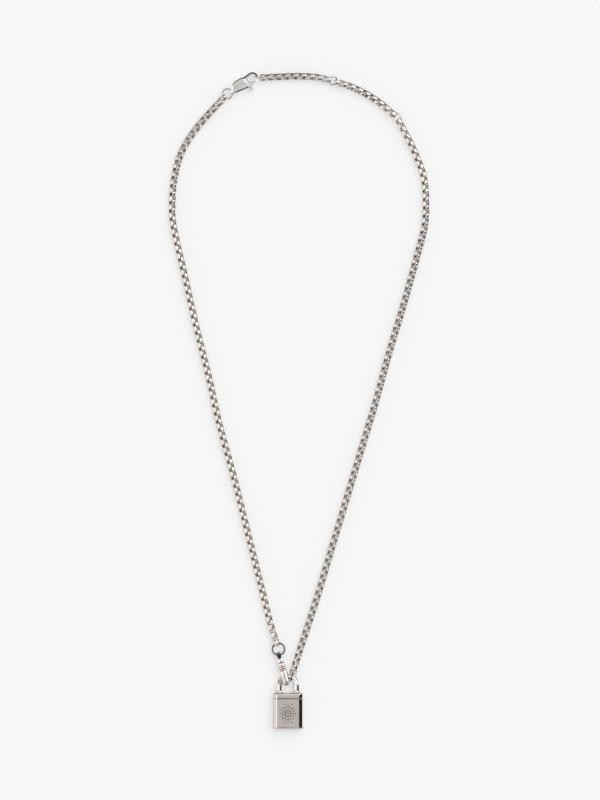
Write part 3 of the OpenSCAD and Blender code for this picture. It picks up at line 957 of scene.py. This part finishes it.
def filleted(points, radii, steps):
    """The open line through the points, with each inner corner rounded by its own radius."""
    line = [points[0]]
    for before, at, after, r in zip(points, points[1:], points[2:], radii):
        p = Vector(at)
        back = (Vector(before) - p).normalized()
        on = (Vector(after) - p).normalized()
        half = back.angle(on) / 2
        reach = r / math.tan(half)
        middle = p + (back + on).normalized() * (r / math.sin(half))
        first = p + back * reach - middle
        last = p + on * reach - middle
        sweep = first.angle_signed(last)
        for k in range(steps + 1):
            line.append(tuple(middle + Matrix.Rotation(-sweep * k / steps, 2) @ first))
    line.append(points[-1])
    return line


def mirrored(line):
    """The upper half of a section, followed by its mirror image below."""
    return [*line] + [(inset, -z) for inset, z in reversed(line)]


# %% Finish and place of a solid part
def at_mm(x, y, z, heading=0.0):
    return Matrix.Translation(Vector((x, y, z)) * MM) @ Matrix.Rotation(math.radians(heading), 4, "Z")


def finish_piece(piece, matrix, materials, finish_of=None, sharp_degrees=32.0):
    """Scales, places and shades a piece. Where it has several materials, finish_of tells that of a face."""
    slots = [materials.index(finish_of(face)) for face in piece.data.polygons] if finish_of else []
    piece.data.transform(matrix @ Matrix.Scale(MM, 4))
    piece.data.materials.clear()
    for material in materials:
        piece.data.materials.append(material)
    piece.data.shade_smooth()
    piece.data.set_sharp_from_angle(angle=math.radians(sharp_degrees))
    step = piece.modifiers.new("flat faces", "WEIGHTED_NORMAL")
    step.keep_sharp = True
    settle(piece)
    for face, slot in zip(piece.data.polygons, slots):
        face.material_index = slot
    return piece


# %% [markdown]
# ## Padlock case
# The case is a block with a flat brushed face and broad polished slants down its sides, a closer bevel at
# top and bottom, and rounded corners. A cube with a bevel modifier has one bevel width all round, so the
# block is skinned instead: each loop is a rounded rectangle whose sides follow the slant and whose ends
# follow the small bevel. The collars, leg bores and the seam under the top are then added and cut.

# %% Case
CASE_W = 12.1
CASE_H = 14.5
CASE_T = 4.4
SLANT_W = 1.45
SLANT_DROP = 1.2
END_BEVEL = 0.55
CASE_CORNER = 0.8
FACE_CORNER = 0.25
FACE_MARGIN = 0.4
# radii that soften the corners of the section, from its face to its back
EDGE_SOFT = (0.9, 1.8, 1.8, 0.9)
END_SOFT = (0.9, 0.9, 0.9, 0.9)
SOFT_STEPS = 5
CORNER_STEPS = 5


def case_edge(width, drop, radii):
    half_t = CASE_T / 2
    upper = [(width + FACE_MARGIN, half_t), (width, half_t), (0, half_t - drop)]
    return filleted(mirrored(upper), radii, SOFT_STEPS)


def case_loops():
    side = case_edge(SLANT_W, SLANT_DROP, EDGE_SOFT)
    ends = case_edge(END_BEVEL, END_BEVEL, END_SOFT)
    loops = []
    for (in_x, z_side), (in_y, z_end) in zip(side, ends):
        r = CASE_CORNER + (FACE_CORNER - CASE_CORNER) * min(in_x / SLANT_W, 1)
        x = CASE_W / 2 - in_x - r
        y = CASE_H / 2 - in_y - r
        loop = []
        for quarter, (sx, sy) in enumerate(((1, 1), (-1, 1), (-1, -1), (1, -1))):
            for k in range(CORNER_STEPS + 1):
                a = math.pi / 2 * (quarter + k / CORNER_STEPS)
                to_end = k / CORNER_STEPS if quarter % 2 == 0 else 1 - k / CORNER_STEPS
                z = z_side + (z_end - z_side) * to_end
                loop.append((sx * x + r * math.cos(a), sy * y + r * math.sin(a), z))
        loops.append(loop)
    return loops


print("case:", len(case_loops()), "loops of", len(case_loops()[0]), "points")

# %% Seam, collars and bores
SEAM_DROP = 2.3
SEAM_HALF = 0.2
SEAM_DEPTH = 0.2
SEAM_PROUD = 0.02
SEAM_OUTSIDE = 1.0
SHACKLE_SPAN = 6.84
SHACKLE_R = 1.0
LEG_R = 1.15
COLLAR_R = 1.48
COLLAR_H = 0.8
COLLAR_SINK = 0.8
# inwards from the collar's side, and down from its top
COLLAR_EDGE = ((0.0, 0.14), (0.05, 0.04), (0.14, 0.0))
BORE_R = LEG_R + 0.05
# outwards from the bore, and height over the collar's top
BORE_MOUTH = ((0.0, -0.08), (0.1, 0.02))


def seam_cutter():
    """A ring with a V edge that runs round the case, x and z, at the seam's height."""
    def outline(inset):
        w = CASE_W / 2 - inset
        t = CASE_T / 2 - inset
        return [
            (-w, -t + SLANT_DROP), (-w + SLANT_W, -t), (w - SLANT_W, -t), (w, -t + SLANT_DROP),
            (w, t - SLANT_DROP), (w - SLANT_W, t), (-w + SLANT_W, t), (-w, t - SLANT_DROP),
        ]
    y = CASE_H / 2 - SEAM_DROP
    stations = [
        (-SEAM_HALF, -SEAM_PROUD), (0, SEAM_DEPTH), (SEAM_HALF, -SEAM_PROUD),
        (SEAM_HALF, -SEAM_OUTSIDE), (-SEAM_HALF, -SEAM_OUTSIDE),
    ]
    verts = [(px, y + dy, pz) for dy, inset in stations for px, pz in outline(inset)]
    return blank("seam_cutter", verts, faces_between(len(stations), len(outline(0)), closed=True))


def build_case():
    case = skin("padlock_case", case_loops())
    top = CASE_H / 2
    for side in (-1, 1):
        x = side * SHACKLE_SPAN / 2
        collar = [(0, -COLLAR_SINK), (COLLAR_R, -COLLAR_SINK)]
        collar += [(COLLAR_R - inwards, COLLAR_H - down) for inwards, down in COLLAR_EDGE]
        collar.append((0, COLLAR_H))
        joined_by("UNION", case, moved(lathe("collar", collar, axis="Y"), x, top, 0))
        bore = [(0, -FAR), (BORE_R, -FAR)]
        bore += [(BORE_R + outwards, COLLAR_H + over) for outwards, over in BORE_MOUTH]
        bore += [(bore[-1][0], FAR), (0, FAR)]
        joined_by("DIFFERENCE", case, moved(lathe("bore", bore, axis="Y"), x, top, 0))
    return joined_by("DIFFERENCE", case, seam_cutter())


case = build_case()
print("case has", len(case.data.polygons), "faces")

# %% [markdown]
# ## Sunburst on the face
# The face carries an engraved sunburst: long and short rays round a small ring, with a dot past each short
# ray. A graver leaves a V cut, so each ray is cut with a flat pyramid and each dot with a cone, and not
# painted on. The cuts get a darker steel, which is what makes such work read from afar. The rays
# follow a tall oval.

# %% Rays
RAYS = 16
RAY_REACH = (3.65, 4.25)
SHORT_RAY = 0.72
RAY_START = 1.75
RAY_BELLY = 2.3
RAY_DEEPEST = 2.4
RAY_HALF = 0.3
CUT_DEPTH = 0.2
ABOVE = 0.4
PROUD = 0.03
# points 0 to 3 are a ray's rim, 4 to 7 stand above them and 8 is the deepest
RAY_FACES = [(0, 1, 8), (1, 2, 8), (2, 3, 8), (3, 0, 8), (4, 5, 6, 7)]
RAY_FACES += [(k, (k + 1) % 4, 4 + (k + 1) % 4, 4 + k) for k in range(4)]


def ray_lengths():
    for i in range(RAYS):
        a = 2 * math.pi * i / RAYS
        yield a, math.hypot(RAY_REACH[0] * math.cos(a), RAY_REACH[1] * math.sin(a)), i % 2 == 0


def ray_cutters():
    verts = []
    faces = []
    for a, whole, is_long in ray_lengths():
        tip = whole if is_long else whole * SHORT_RAY
        rim = [(RAY_START, 0), (RAY_BELLY, -RAY_HALF), (tip, 0), (RAY_BELLY, RAY_HALF)]
        shape = [(x, y, PROUD) for x, y in rim] + [(x, y, ABOVE) for x, y in rim]
        shape.append((RAY_DEEPEST, 0, -CUT_DEPTH))
        turn = Matrix.Rotation(a, 3, "Z")
        low = len(verts)
        verts += [turn @ Vector(p) for p in shape]
        faces += [tuple(low + k for k in face) for face in RAY_FACES]
    return blank("rays", verts, faces)


print("rays reach", [round(whole, 2) for _, whole, is_long in ray_lengths() if is_long], "mm")

# %% Ring and dots
SUN_DOWN = 0.9
RING_CUT = ((0.97, 0.03), (1.08, -0.16), (1.32, -0.16), (1.43, 0.03), (1.43, 0.4), (0.97, 0.4))
RING_CUT_STEPS = 64
DOT_R = 0.28
MIDDLE_DOT_R = 0.42
DOT_STEPS = 20
# share of the dot's radius, and of the cut's depth
DOT_SHAPE = ((0, -0.75), (0.4, -0.6), (1, 0))


def ring_cutter():
    verts = []
    for k in range(RING_CUT_STEPS):
        a = 2 * math.pi * k / RING_CUT_STEPS
        verts += [(r * math.cos(a), r * math.sin(a), z) for r, z in RING_CUT]
    return blank("ring_cut", verts, faces_between(RING_CUT_STEPS, len(RING_CUT), closed=True))


def dot_cutter(r):
    profile = [(r * out, CUT_DEPTH * height) for out, height in DOT_SHAPE]
    profile += [(r + PROUD, PROUD), (r + PROUD, ABOVE), (0, ABOVE)]
    return lathe("dot_cut", profile, DOT_STEPS)


def sun_cutters():
    cutters = [ray_cutters(), ring_cutter(), dot_cutter(MIDDLE_DOT_R)]
    for a, whole, is_long in ray_lengths():
        if not is_long:
            at = whole - DOT_R
            cutters.append(moved(dot_cutter(DOT_R), at * math.cos(a), at * math.sin(a), 0))
    return cutters


for cutter in sun_cutters():
    joined_by("DIFFERENCE", case, moved(cutter, 0, -SUN_DOWN, CASE_T / 2))
print("case with its sunburst has", len(case.data.polygons), "faces")

# %% The case's finishes and place
# room that is left for rounding when a face is told by its place
SUN_REACH = max(RAY_REACH) + 0.1
SAME_LEVEL = 0.003
NEARLY = 0.02
LEVEL_NORMAL = 0.99


def case_finish(face):
    x, y, z = face.center
    depth = CASE_T / 2 - z
    if abs(abs(z) - CASE_T / 2) < SAME_LEVEL and abs(face.normal.z) > LEVEL_NORMAL:
        return BRUSHED_FACE
    if SAME_LEVEL < depth < CUT_DEPTH + NEARLY and math.hypot(x, y + SUN_DOWN) < SUN_REACH:
        return CUT_STEEL
    # the seam's groove is painted darker as shade
    if abs(y - CASE_H / 2 + SEAM_DROP) < SEAM_HALF and abs(x) < CASE_W / 2 - SLANT_W:
        return SEAM_SHADE_STEEL
    return CASE_STEEL


low, high = (Vector(corner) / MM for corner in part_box("lock_body"))
CASE_AT = Vector(((low.x + high.x) / 2, low.y + CASE_H / 2, (low.z + high.z) / 2))
finish_piece(case, at_mm(*CASE_AT), [CASE_STEEL, BRUSHED_FACE, CUT_STEEL, SEAM_SHADE_STEEL], case_finish)
seat_piece(case, "lock_body")

# %% [markdown]
# ## Shackle
# The shackle is one length of round bar, bent to a half circle with two straight legs that go down into
# the collars. Bending draws it a hair thinner over the arch. A curve with a round bevel would give it. It
# is swept by formula, like the rings, so that the arch has many steps and each straight leg only a few.

# %% Shackle
BAR_STEPS = 32
ARCH_STEPS = 48
SHACKLE_RISE = 3.0
ARCH_LOW = CASE_H / 2 + SHACKLE_RISE
ARCH_R = SHACKLE_SPAN / 2
LEG_LENGTH = 5.5
# height over the leg's end, and radius there
LEG_TIP = ((0.0, LEG_R - 0.15), (0.12, LEG_R), (2.4, LEG_R))
THIN_FROM = math.radians(30)


def shackle_path():
    """Places along the bar, each with its direction outwards from the bow and its radius."""
    path = []
    for up, radius in LEG_TIP:
        path.append((Vector((ARCH_R, ARCH_LOW - LEG_LENGTH + up, 0)), Vector((1, 0, 0)), radius))
    for k in range(ARCH_STEPS + 1):
        a = math.pi * k / ARCH_STEPS
        out = Vector((math.cos(a), math.sin(a), 0))
        thin = min(1, math.sin(a) / math.sin(THIN_FROM))
        path.append((Vector((0, ARCH_LOW, 0)) + ARCH_R * out, out, LEG_R + (SHACKLE_R - LEG_R) * thin))
    for up, radius in reversed(LEG_TIP):
        path.append((Vector((-ARCH_R, ARCH_LOW - LEG_LENGTH + up, 0)), Vector((-1, 0, 0)), radius))
    return path


def swept(path, sides):
    """A ring of points round each place of a flat path, at a right angle to the path."""
    up = Vector((0, 0, 1))
    turns = [2 * math.pi * k / sides for k in range(sides)]
    return [
        [place + radius * (math.cos(a) * across + math.sin(a) * up) for a in turns]
        for place, across, radius in path
    ]


shackle = skin("shackle_bow", swept(shackle_path(), BAR_STEPS))
finish_piece(shackle, at_mm(*CASE_AT), [MIRROR_STEEL])
seat_piece(shackle, "shackle")

# %% [markdown]
# ## Strap loop
# The strap loop is a thick steel strap: a narrow neck with an eye for the front ring, then two walls that
# part and come together again in a round foot, with the shackle between them. Polishing has rounded it
# across, so that its sides catch the light as long white stripes, and the neck is painted near black as
# shade. It is skinned through full oval sections along its length, because both its width and its
# thickness change on the way, and then drilled, slotted and given a bed for the enamel.

# %% Where the strap lies, and its measures
# S is a distance along the strap from its eye, W a width, T half a thickness and R a radius
STRAP_EYE = Vector((-8.42 + SHIFT[0], -101.6 + SHIFT[1], CASE_T / 2))
STRAP_TURN = math.radians(21)
ARCH_MIDDLE = CASE_AT + Vector((0, ARCH_LOW, 0))
STRAP_SEAT = ARCH_MIDDLE + ARCH_R * Vector((-math.sin(STRAP_TURN), math.cos(STRAP_TURN), 0))
STRAP_RUN = STRAP_SEAT - STRAP_EYE
STRAP_REACH = STRAP_RUN.length
STRAP_HEADING = math.degrees(math.atan2(STRAP_RUN.y, STRAP_RUN.x))
STRAP_W = 3.0
FOOT_R = 1.65
SLOT_R = SHACKLE_R + 0.15
STRAP_R = SLOT_R + 0.6
FOOT_S = STRAP_REACH + 1.75
FOOT_WIDENS = 1.2
FOOT_TIP = 0.1
FULL_BEFORE = 1.5
EYE_R = 1.15
EYE_HOLE_R = 0.68
NECK_W = (1.76, 1.5)
COLLAR_S = 1.55
COLLAR_T = 1.15
WAIST_S = 1.1
WAIST_T = 0.86
NECK_FROM = -0.5
SHOULDER_R = 0.35
print("strap runs", round(STRAP_REACH, 2), "mm to the shackle, heading", round(STRAP_HEADING, 1))

# %% The strap's sections
# 2 would give an ellipse, and a larger number fuller corners
FULLNESS = 2.5
SECTION_STEPS = 40


def foot_half(radius, s):
    """Half the size across the round foot, which ends in a small flat."""
    return math.sqrt(max(radius**2 - (s - FOOT_S) ** 2, FOOT_TIP**2))


def strap_half_t(s):
    if s < 0:
        return math.sqrt(EYE_R**2 - s**2)
    if s < WAIST_S:
        return EYE_R + (WAIST_T - EYE_R) * s / WAIST_S
    if s < COLLAR_S:
        return WAIST_T + (COLLAR_T - WAIST_T) * (s - WAIST_S) / (COLLAR_S - WAIST_S)
    if s < FOOT_S:
        share = min((s - COLLAR_S) / (STRAP_REACH - FULL_BEFORE - COLLAR_S), 1)
        return COLLAR_T + (STRAP_R - COLLAR_T) * share
    return foot_half(STRAP_R, s)


def strap_half_w(s):
    if s < COLLAR_S:
        share = (s + EYE_R) / (EYE_R + COLLAR_S)
        return (NECK_W[0] + (NECK_W[1] - NECK_W[0]) * share) / 2
    if s < COLLAR_S + SHOULDER_R:
        return STRAP_W / 2 - SHOULDER_R + math.sqrt(SHOULDER_R**2 - (COLLAR_S + SHOULDER_R - s) ** 2)
    if s < FOOT_S:
        into = max((s - FOOT_S + FOOT_WIDENS) / FOOT_WIDENS, 0)
        return STRAP_W / 2 + (FOOT_R - STRAP_W / 2) * into * into * (3 - 2 * into)
    return foot_half(FOOT_R, s)


def oval(s, half_w, half_t):
    loop = []
    for k in range(SECTION_STEPS):
        a = 2 * math.pi * k / SECTION_STEPS
        y, z = (math.copysign(abs(v) ** (2 / FULLNESS), v) for v in (math.cos(a), math.sin(a)))
        loop.append((s, half_w * y, half_t * z))
    return loop


def strap_top(s, y):
    """Height of the strap's upper face above its middle plane."""
    return strap_half_t(s) * (1 - abs(y / strap_half_w(s)) ** FULLNESS) ** (1 / FULLNESS)


print("strap's neck is", round(2 * strap_half_w(WAIST_S), 2), "mm wide and its foot", 2 * FOOT_R, "mm")

# %% Where the sections stand
EYE_TURNS = (4, 15, 30, 45, 60, 75)
NECK_STATIONS = (-0.15, 0.0, 0.4, 0.8, WAIST_S, COLLAR_S - 0.01)
SHOULDER_WAYS = (0.01, 0.06, 0.14, 0.24, SHOULDER_R)
WALL_STEPS = 12
FOOT_WAYS = (0.9, 0.6, 0.3)
FOOT_TURNS = (0, 15, 30, 45, 60, 72, 82, 88)


def strap_stations():
    walls_from = COLLAR_S + SHOULDER_R
    walls_run = FOOT_S - FOOT_WIDENS - walls_from
    stations = [-EYE_R * math.cos(math.radians(a)) for a in EYE_TURNS]
    stations += NECK_STATIONS
    stations += [COLLAR_S + way for way in SHOULDER_WAYS]
    stations += [walls_from + k * walls_run / WALL_STEPS for k in range(1, WALL_STEPS + 1)]
    stations += [FOOT_S - way for way in FOOT_WAYS]
    stations += [FOOT_S + FOOT_R * math.sin(math.radians(a)) for a in FOOT_TURNS]
    return stations


print("strap sections:", len(strap_stations()))

# %% [markdown]
# ## Enamel
# The panel is fired enamel that lies in its bed on the upper face, a hair below the steel, with a groove
# at each end whose walls are painted near black as shade. Two red bars cross a pale rose ground. It follows
# the crown of the strap, so both the bed's cutter and the enamel are made by one function from the same
# upper face. The red bars are faces of their own.

# %% Cell shape shared by the enamel and its bed
ENAMEL_S = 3.5
ENAMEL_L = 2.9
ENAMEL_W = 2.0
ENAMEL_T = 0.17
ENAMEL_SUNK = 0.015
GROOVE_W = 0.3
GROOVE_SIDE = 0.08
BED_DEPTH = 0.2
BED_FROM = ENAMEL_S - GROOVE_W
BED_TO = ENAMEL_S + ENAMEL_L + GROOVE_W
RED_BARS = ((1.15, 1.65), (2.05, 2.6))
CELL_STEPS = 10
CELL_SPANS = 8
CELL_RIM = 0.04
CELL_ROUND = 0.03


def cell(name, start, end, width, floor, top=None):
    """A solid under the strap's upper face, from its floor up to its top, or far above where top is None."""
    stations = {start, end, start + CELL_RIM, end - CELL_RIM}
    stations |= {start + (end - start) * k / CELL_SPANS for k in range(1, CELL_SPANS)}
    if top is not None:
        stations |= {start + edge for bar in RED_BARS for edge in bar}
    across = [width * (k / CELL_STEPS - 0.5) for k in range(CELL_STEPS + 1)]
    loops = []
    for s in sorted(stations):
        loop = [(s, y, strap_top(s, y) - floor) for y in across]
        for y in reversed(across):
            if top is None:
                loop.append((s, y, FAR))
            else:
                at_rim = s in (start, end) or y in (across[0], across[-1])
                loop.append((s, y, strap_top(s, y) - (top + (CELL_ROUND if at_rim else 0.0))))
        loops.append(loop)
    return skin(name, loops)


# %% The strap, cut, finished and placed
SLOT_STEPS = 24
HOLE_STEPS = 24
STRAP_EASE = 0.05
# a face belongs to the bed from this depth on, and with this much room for rounding
BED_BEGINS = 0.04
UNDER_FLOOR = 0.02
PAST_SIDE = 0.01


def build_strap():
    strap = skin("strap", [oval(s, strap_half_w(s), strap_half_t(s)) for s in strap_stations()])
    slot = arc(STRAP_REACH, 0, SLOT_R, 90, 270, SLOT_STEPS) + arc(FOOT_S, 0, SLOT_R, -90, 90, SLOT_STEPS)
    hole = arc(0, 0, EYE_HOLE_R, 0, 360 - 360 / HOLE_STEPS, HOLE_STEPS - 1)
    joined_by("DIFFERENCE", strap, prism("slot", slot, -FAR, FAR, "Y"))
    joined_by("DIFFERENCE", strap, prism("eye_hole", hole, -FAR, FAR, "Y"))
    joined_by("DIFFERENCE", strap, cell("bed", BED_FROM, BED_TO, ENAMEL_W + 2 * GROOVE_SIDE, BED_DEPTH))
    return ease(strap, STRAP_EASE, 2)


def strap_finish(face):
    s, y, z = face.center
    # the neck and the walls of the enamel bed are painted near black as shade
    if NECK_FROM < s < COLLAR_S:
        return NECK_SHADE_STEEL
    if BED_FROM < s < BED_TO and abs(y) < ENAMEL_W / 2 + GROOVE_SIDE + PAST_SIDE:
        if BED_BEGINS < strap_top(s, y) - z < BED_DEPTH + UNDER_FLOOR:
            return NECK_SHADE_STEEL
    return MIRROR_STEEL


STRAP_PLACE = at_mm(*STRAP_EYE, STRAP_HEADING)
strap = build_strap()
finish_piece(strap, STRAP_PLACE, [MIRROR_STEEL, NECK_SHADE_STEEL], strap_finish)
seat_piece(strap, "strap_loop")

# %% The enamel panel
def enamel_finish(face):
    in_bar = any(ENAMEL_S + start < face.center.x < ENAMEL_S + end for start, end in RED_BARS)
    return RED_ENAMEL if in_bar else ROSE_ENAMEL


panel = cell("enamel", ENAMEL_S, ENAMEL_S + ENAMEL_L, ENAMEL_W, ENAMEL_T, ENAMEL_SUNK)
finish_piece(panel, STRAP_PLACE, [ROSE_ENAMEL, RED_ENAMEL], enamel_finish)
seat_piece(panel, "enamel_panel")

# %% [markdown]
# ## Clasp body
# A lobster clasp is a small casting: a swollen cheek with a brushed panel inside a broad polished bevel,
# an eye at the tail for the ring, and a flat hook that curves round to meet the lever. The cheek is
# skinned from loops that shrink towards the panel while their height follows a shallow dome. The hook is
# an outline of arcs with eased edges. They are joined, and the lever's slot and the pin's bore are cut
# through last.

# %% The cheek's outline
CLASP_AT = Vector((-27.7 + SHIFT[0], 123.5 + SHIFT[1], 1.75))
CLASP_HEADING = 29.0
CLASP_T = 3.5
# circles that the cheek's outline goes round: x, y and radius
CHEEK_CORNERS = ((1.35, -0.35, 1.1), (7.3, -1.48, 0.65), (6.3, 2.05, 0.95), (3.4, 0.5, 2.45))
CHEEK_MIDDLE = Vector((4.2, 0.55))
CHEEK_HALF = Vector((3.8, 2.45))
CHEEK_ARC_STEPS = 8
CHEEK_EDGE_STEPS = 5


def round_cornered(corners):
    """The outline round circles (x, y, radius) in anticlockwise order, along their outer tangents."""
    ways = []
    for (ax, ay, ar), (bx, by, br) in zip(corners, corners[1:] + corners[:1]):
        run = Vector((bx - ax, by - ay))
        ways.append(math.atan2(run.y, run.x) - math.pi / 2 - math.asin((br - ar) / run.length))
    outline = []
    for i, (x, y, r) in enumerate(corners):
        start = ways[i - 1]
        turn = (ways[i] - start) % (2 * math.pi)
        bend = [start + turn * k / CHEEK_ARC_STEPS for k in range(CHEEK_ARC_STEPS + 1)]
        outline += [(x + r * math.cos(a), y + r * math.sin(a)) for a in bend]
        nx, ny, nr = corners[(i + 1) % len(corners)]
        last = Vector(outline[-1])
        to = Vector((nx + nr * math.cos(ways[i]), ny + nr * math.sin(ways[i])))
        outline += [tuple(last.lerp(to, k / CHEEK_EDGE_STEPS)) for k in range(1, CHEEK_EDGE_STEPS)]
    return outline


print("cheek's outline:", len(round_cornered(CHEEK_CORNERS)), "points")

# %% The cheek's loops
DOME_R = 32.0
BEVEL = 0.58
PANEL_RIM = 0.3
# the side leans out from here to its widest part, a share of the half height above the middle
SIDE_IN = 0.1
SIDE_FROM = 0.53
SIDE_BULGE = 0.3
RIM_RADII = (0.2, 0.12, 0.1, 0.1, 0.12, 0.2)
RIM_STEPS = 4
PANEL_INSETS = (2.0, 1.7, 1.4, 1.1)
# the panel comes closer to the cheek's head end than to its sides
HEAD_FROM = 2.5
HEAD_TRIM = 0.55


def cheek_loops():
    half = CLASP_T / 2
    edge = [(BEVEL + PANEL_RIM, half), (BEVEL, half), (SIDE_IN, half - SIDE_FROM), (0, half * SIDE_BULGE)]
    rim = filleted(mirrored(edge), RIM_RADII, RIM_STEPS)
    face = [(inset, half) for inset in PANEL_INSETS]
    under = [(inset, -z) for inset, z in reversed(face)]
    outline = [Vector(p) - CHEEK_MIDDLE for p in round_cornered(CHEEK_CORNERS)]
    loops = []
    for inset, z in face + rim + under:
        loop = []
        for p in outline:
            trim = HEAD_TRIM if p.x > HEAD_FROM else 1.0
            x = CHEEK_MIDDLE.x + p.x * (1 - trim * inset / CHEEK_HALF.x)
            y = CHEEK_MIDDLE.y + p.y * (1 - inset / CHEEK_HALF.y)
            fall = (x - CHEEK_MIDDLE.x) ** 2 / (2 * DOME_R) / half
            loop.append((x, y, z * (1 - fall)))
        loops.append(loop)
    return loops


print("cheek:", len(cheek_loops()), "loops")

# %% The clasp's hook
HOOK_T = 1.3
HOOK_EDGE = 0.6
HOOK_FLAT_HALF = 0.1
HOOK_EASE = 0.14
NOSE = (10.45, 0.8)
NOSE_R = 2.15
NOSE_SWEEP = (90, -78)
NOSE_STEPS = 30
ROOT_TOP = (7.0, 2.6)
ROOT_BELOW = ((8.36, -1.2), (8.36, -0.2), (7.0, -0.2))
WINDOW_R = 1.15
WINDOW_X = (9.6, 10.6)
WINDOW_Y = 0.42
WINDOW_STEPS = 20
GATE_GAP = ((8.35, -4, -FAR), (10.95, -0.15, FAR))


def build_hook():
    loops = []
    half = HOOK_T / 2
    for inset, z in ((HOOK_EDGE, -half), (0, -HOOK_FLAT_HALF), (0, HOOK_FLAT_HALF), (HOOK_EDGE, half)):
        back = arc(*NOSE, NOSE_R - inset, *NOSE_SWEEP, NOSE_STEPS)
        loop = [(ROOT_TOP[0], ROOT_TOP[1] - inset), *back, *ROOT_BELOW]
        loops.append([(x, y, z) for x, y in reversed(loop)])
    hook = skin("hook", loops)
    window = arc(WINDOW_X[1], WINDOW_Y, WINDOW_R, -90, 90, WINDOW_STEPS)
    window += arc(WINDOW_X[0], WINDOW_Y, WINDOW_R, 90, 270, WINDOW_STEPS)
    joined_by("DIFFERENCE", hook, prism("window", window, -FAR, FAR))
    joined_by("DIFFERENCE", hook, box_blank("gate_gap", *GATE_GAP))
    return ease(hook, HOOK_EASE, 3)


# %% Boss, tail eye, slot and bores
PIVOT = (8.2, -1.0)
PIN_R = 0.45
PIN_GAP = 0.03
PIN_STEPS = 40
BOSS_R = 0.95
BOSS_HALF = 1.15
BUTTON_BEVEL = 0.15
TAIL_X = 0.5
TAIL_R = 1.05
TAIL_HALF = 0.7
TAIL_HOLE_R = 0.6
TAIL_HOLE_STEPS = 48
TAIL_NECK = ((TAIL_X, -0.6, -0.78), (2.2, 0.6, 0.78))
SLIT_T = 0.96
SLIT_END = 1.2
SLIT = ((-1, -3, -SLIT_T / 2), (SLIT_END, 3, SLIT_T / 2))
LEVER_T = 1.0
LEVER_GAP = 0.1
LEVER_SLOT_HALF = LEVER_T / 2 + LEVER_GAP
LEVER_SLOT = ((6.3, -4, -LEVER_SLOT_HALF), (9.5, 0, LEVER_SLOT_HALF))


def button(name, radius, half, axis="Z"):
    """A flat disc with both its edges bevelled."""
    return spindle(name, [(radius, half - BUTTON_BEVEL), (radius - BUTTON_BEVEL, half), (0, half)], axis=axis)


def build_clasp_body():
    body = skin("clasp_cheeks", cheek_loops())
    joined_by("DIFFERENCE", body, box_blank("slit", *SLIT))
    joined_by("UNION", body, build_hook())
    joined_by("UNION", body, moved(button("boss", BOSS_R, BOSS_HALF), *PIVOT, 0))
    eye = moved(button("tail_eye", TAIL_R, TAIL_HALF, "Y"), TAIL_X, 0, 0)
    joined_by("UNION", body, eye, box_blank("tail_neck", *TAIL_NECK))
    joined_by("DIFFERENCE", body, moved(drill("tail_hole", TAIL_HOLE_R, TAIL_HOLE_STEPS, "Y"), TAIL_X, 0, 0))
    joined_by("DIFFERENCE", body, box_blank("lever_slot", *LEVER_SLOT))
    return joined_by("DIFFERENCE", body, moved(drill("pin_bore", PIN_R + PIN_GAP, PIN_STEPS), *PIVOT, 0))


clasp = build_clasp_body()
print("clasp has", len(clasp.data.polygons), "faces")

# %% The clasp's finishes and place
PANEL_NORMAL = 0.985
PANEL_ABOVE = 1.4


def clasp_finish(face):
    x, y, z = face.center
    away = (abs(x - CHEEK_MIDDLE.x) / CHEEK_HALF.x, abs(y - CHEEK_MIDDLE.y) / CHEEK_HALF.y)
    on_panel = max(away) < 1 and abs(face.normal.z) > PANEL_NORMAL and abs(z) > PANEL_ABOVE
    return CLASP_PANEL if on_panel else CLASP_STEEL


CLASP_PLACE = at_mm(*CLASP_AT, CLASP_HEADING)
finish_piece(clasp, CLASP_PLACE, [CLASP_STEEL, CLASP_PANEL], clasp_finish)
seat_piece(clasp, "clasp_body")

# %% [markdown]
# ## Rivet and lever
# A rivet through the boss is the lever's hinge, and its two heads are hammered to low domes. The lever is
# a small stamping with a tab for the thumb on one side of the rivet, and on the other an arm that closes
# the hook from below. It rides on its own body, so that it swings inwards when the clasp is opened.

# %% Rivet
RIVET_SUNK = 0.45
RIVET_HALF = CLASP_T / 2 - RIVET_SUNK
RIVET_STEPS = 32
# radius, and how far below the top of the head
RIVET_HEAD = ((PIN_R, 0.16), (0.38, 0.07), (0.25, 0.02), (0, 0.0))
rivet = spindle("rivet", [(r, RIVET_HALF - down) for r, down in RIVET_HEAD], RIVET_STEPS)
finish_piece(moved(rivet, *PIVOT, 0), CLASP_PLACE, [CLASP_STEEL], sharp_degrees=60.0)
seat_piece(rivet, "clasp_pin")

# %% Lever
LEVER_EYE_R = 0.75
LEVER_EYE_STEPS = 48
LEVER_PIN_GAP = 0.08
LEVER_EASE = 0.1
ARM = ((8.2, -0.4), (8.2, -1.75), (9.8, -1.68), (9.8, -0.42))
TAB = ((7.5, -1.2), (6.75, -2.8), (6.9, -3.15), (8.1, -3.8), (8.35, -3.7), (8.6, -3.0), (8.75, -1.5))
GATE = ((9.4, -0.42), (9.4, -1.7), (10.6, -1.52), (10.82, -1.35), (10.82, -0.45))
GATE_T = HOOK_T + 0.1


def build_lever():
    half = LEVER_T / 2
    round_eye = arc(*PIVOT, LEVER_EYE_R, 0, 360 - 360 / LEVER_EYE_STEPS, LEVER_EYE_STEPS - 1)
    lever = prism("lever", round_eye, -half, half)
    arm = prism("arm", ARM, -half, half)
    tab = prism("tab", TAB, -half, half)
    joined_by("UNION", lever, arm, tab, prism("gate", GATE, -GATE_T / 2, GATE_T / 2))
    bore = drill("lever_bore", PIN_R + LEVER_PIN_GAP, PIN_STEPS)
    joined_by("DIFFERENCE", lever, moved(bore, *PIVOT, 0))
    return ease(lever, LEVER_EASE, 2)


lever = finish_piece(build_lever(), CLASP_PLACE, [CLASP_STEEL])
seat_piece(lever, "clasp_lever", body="lever")
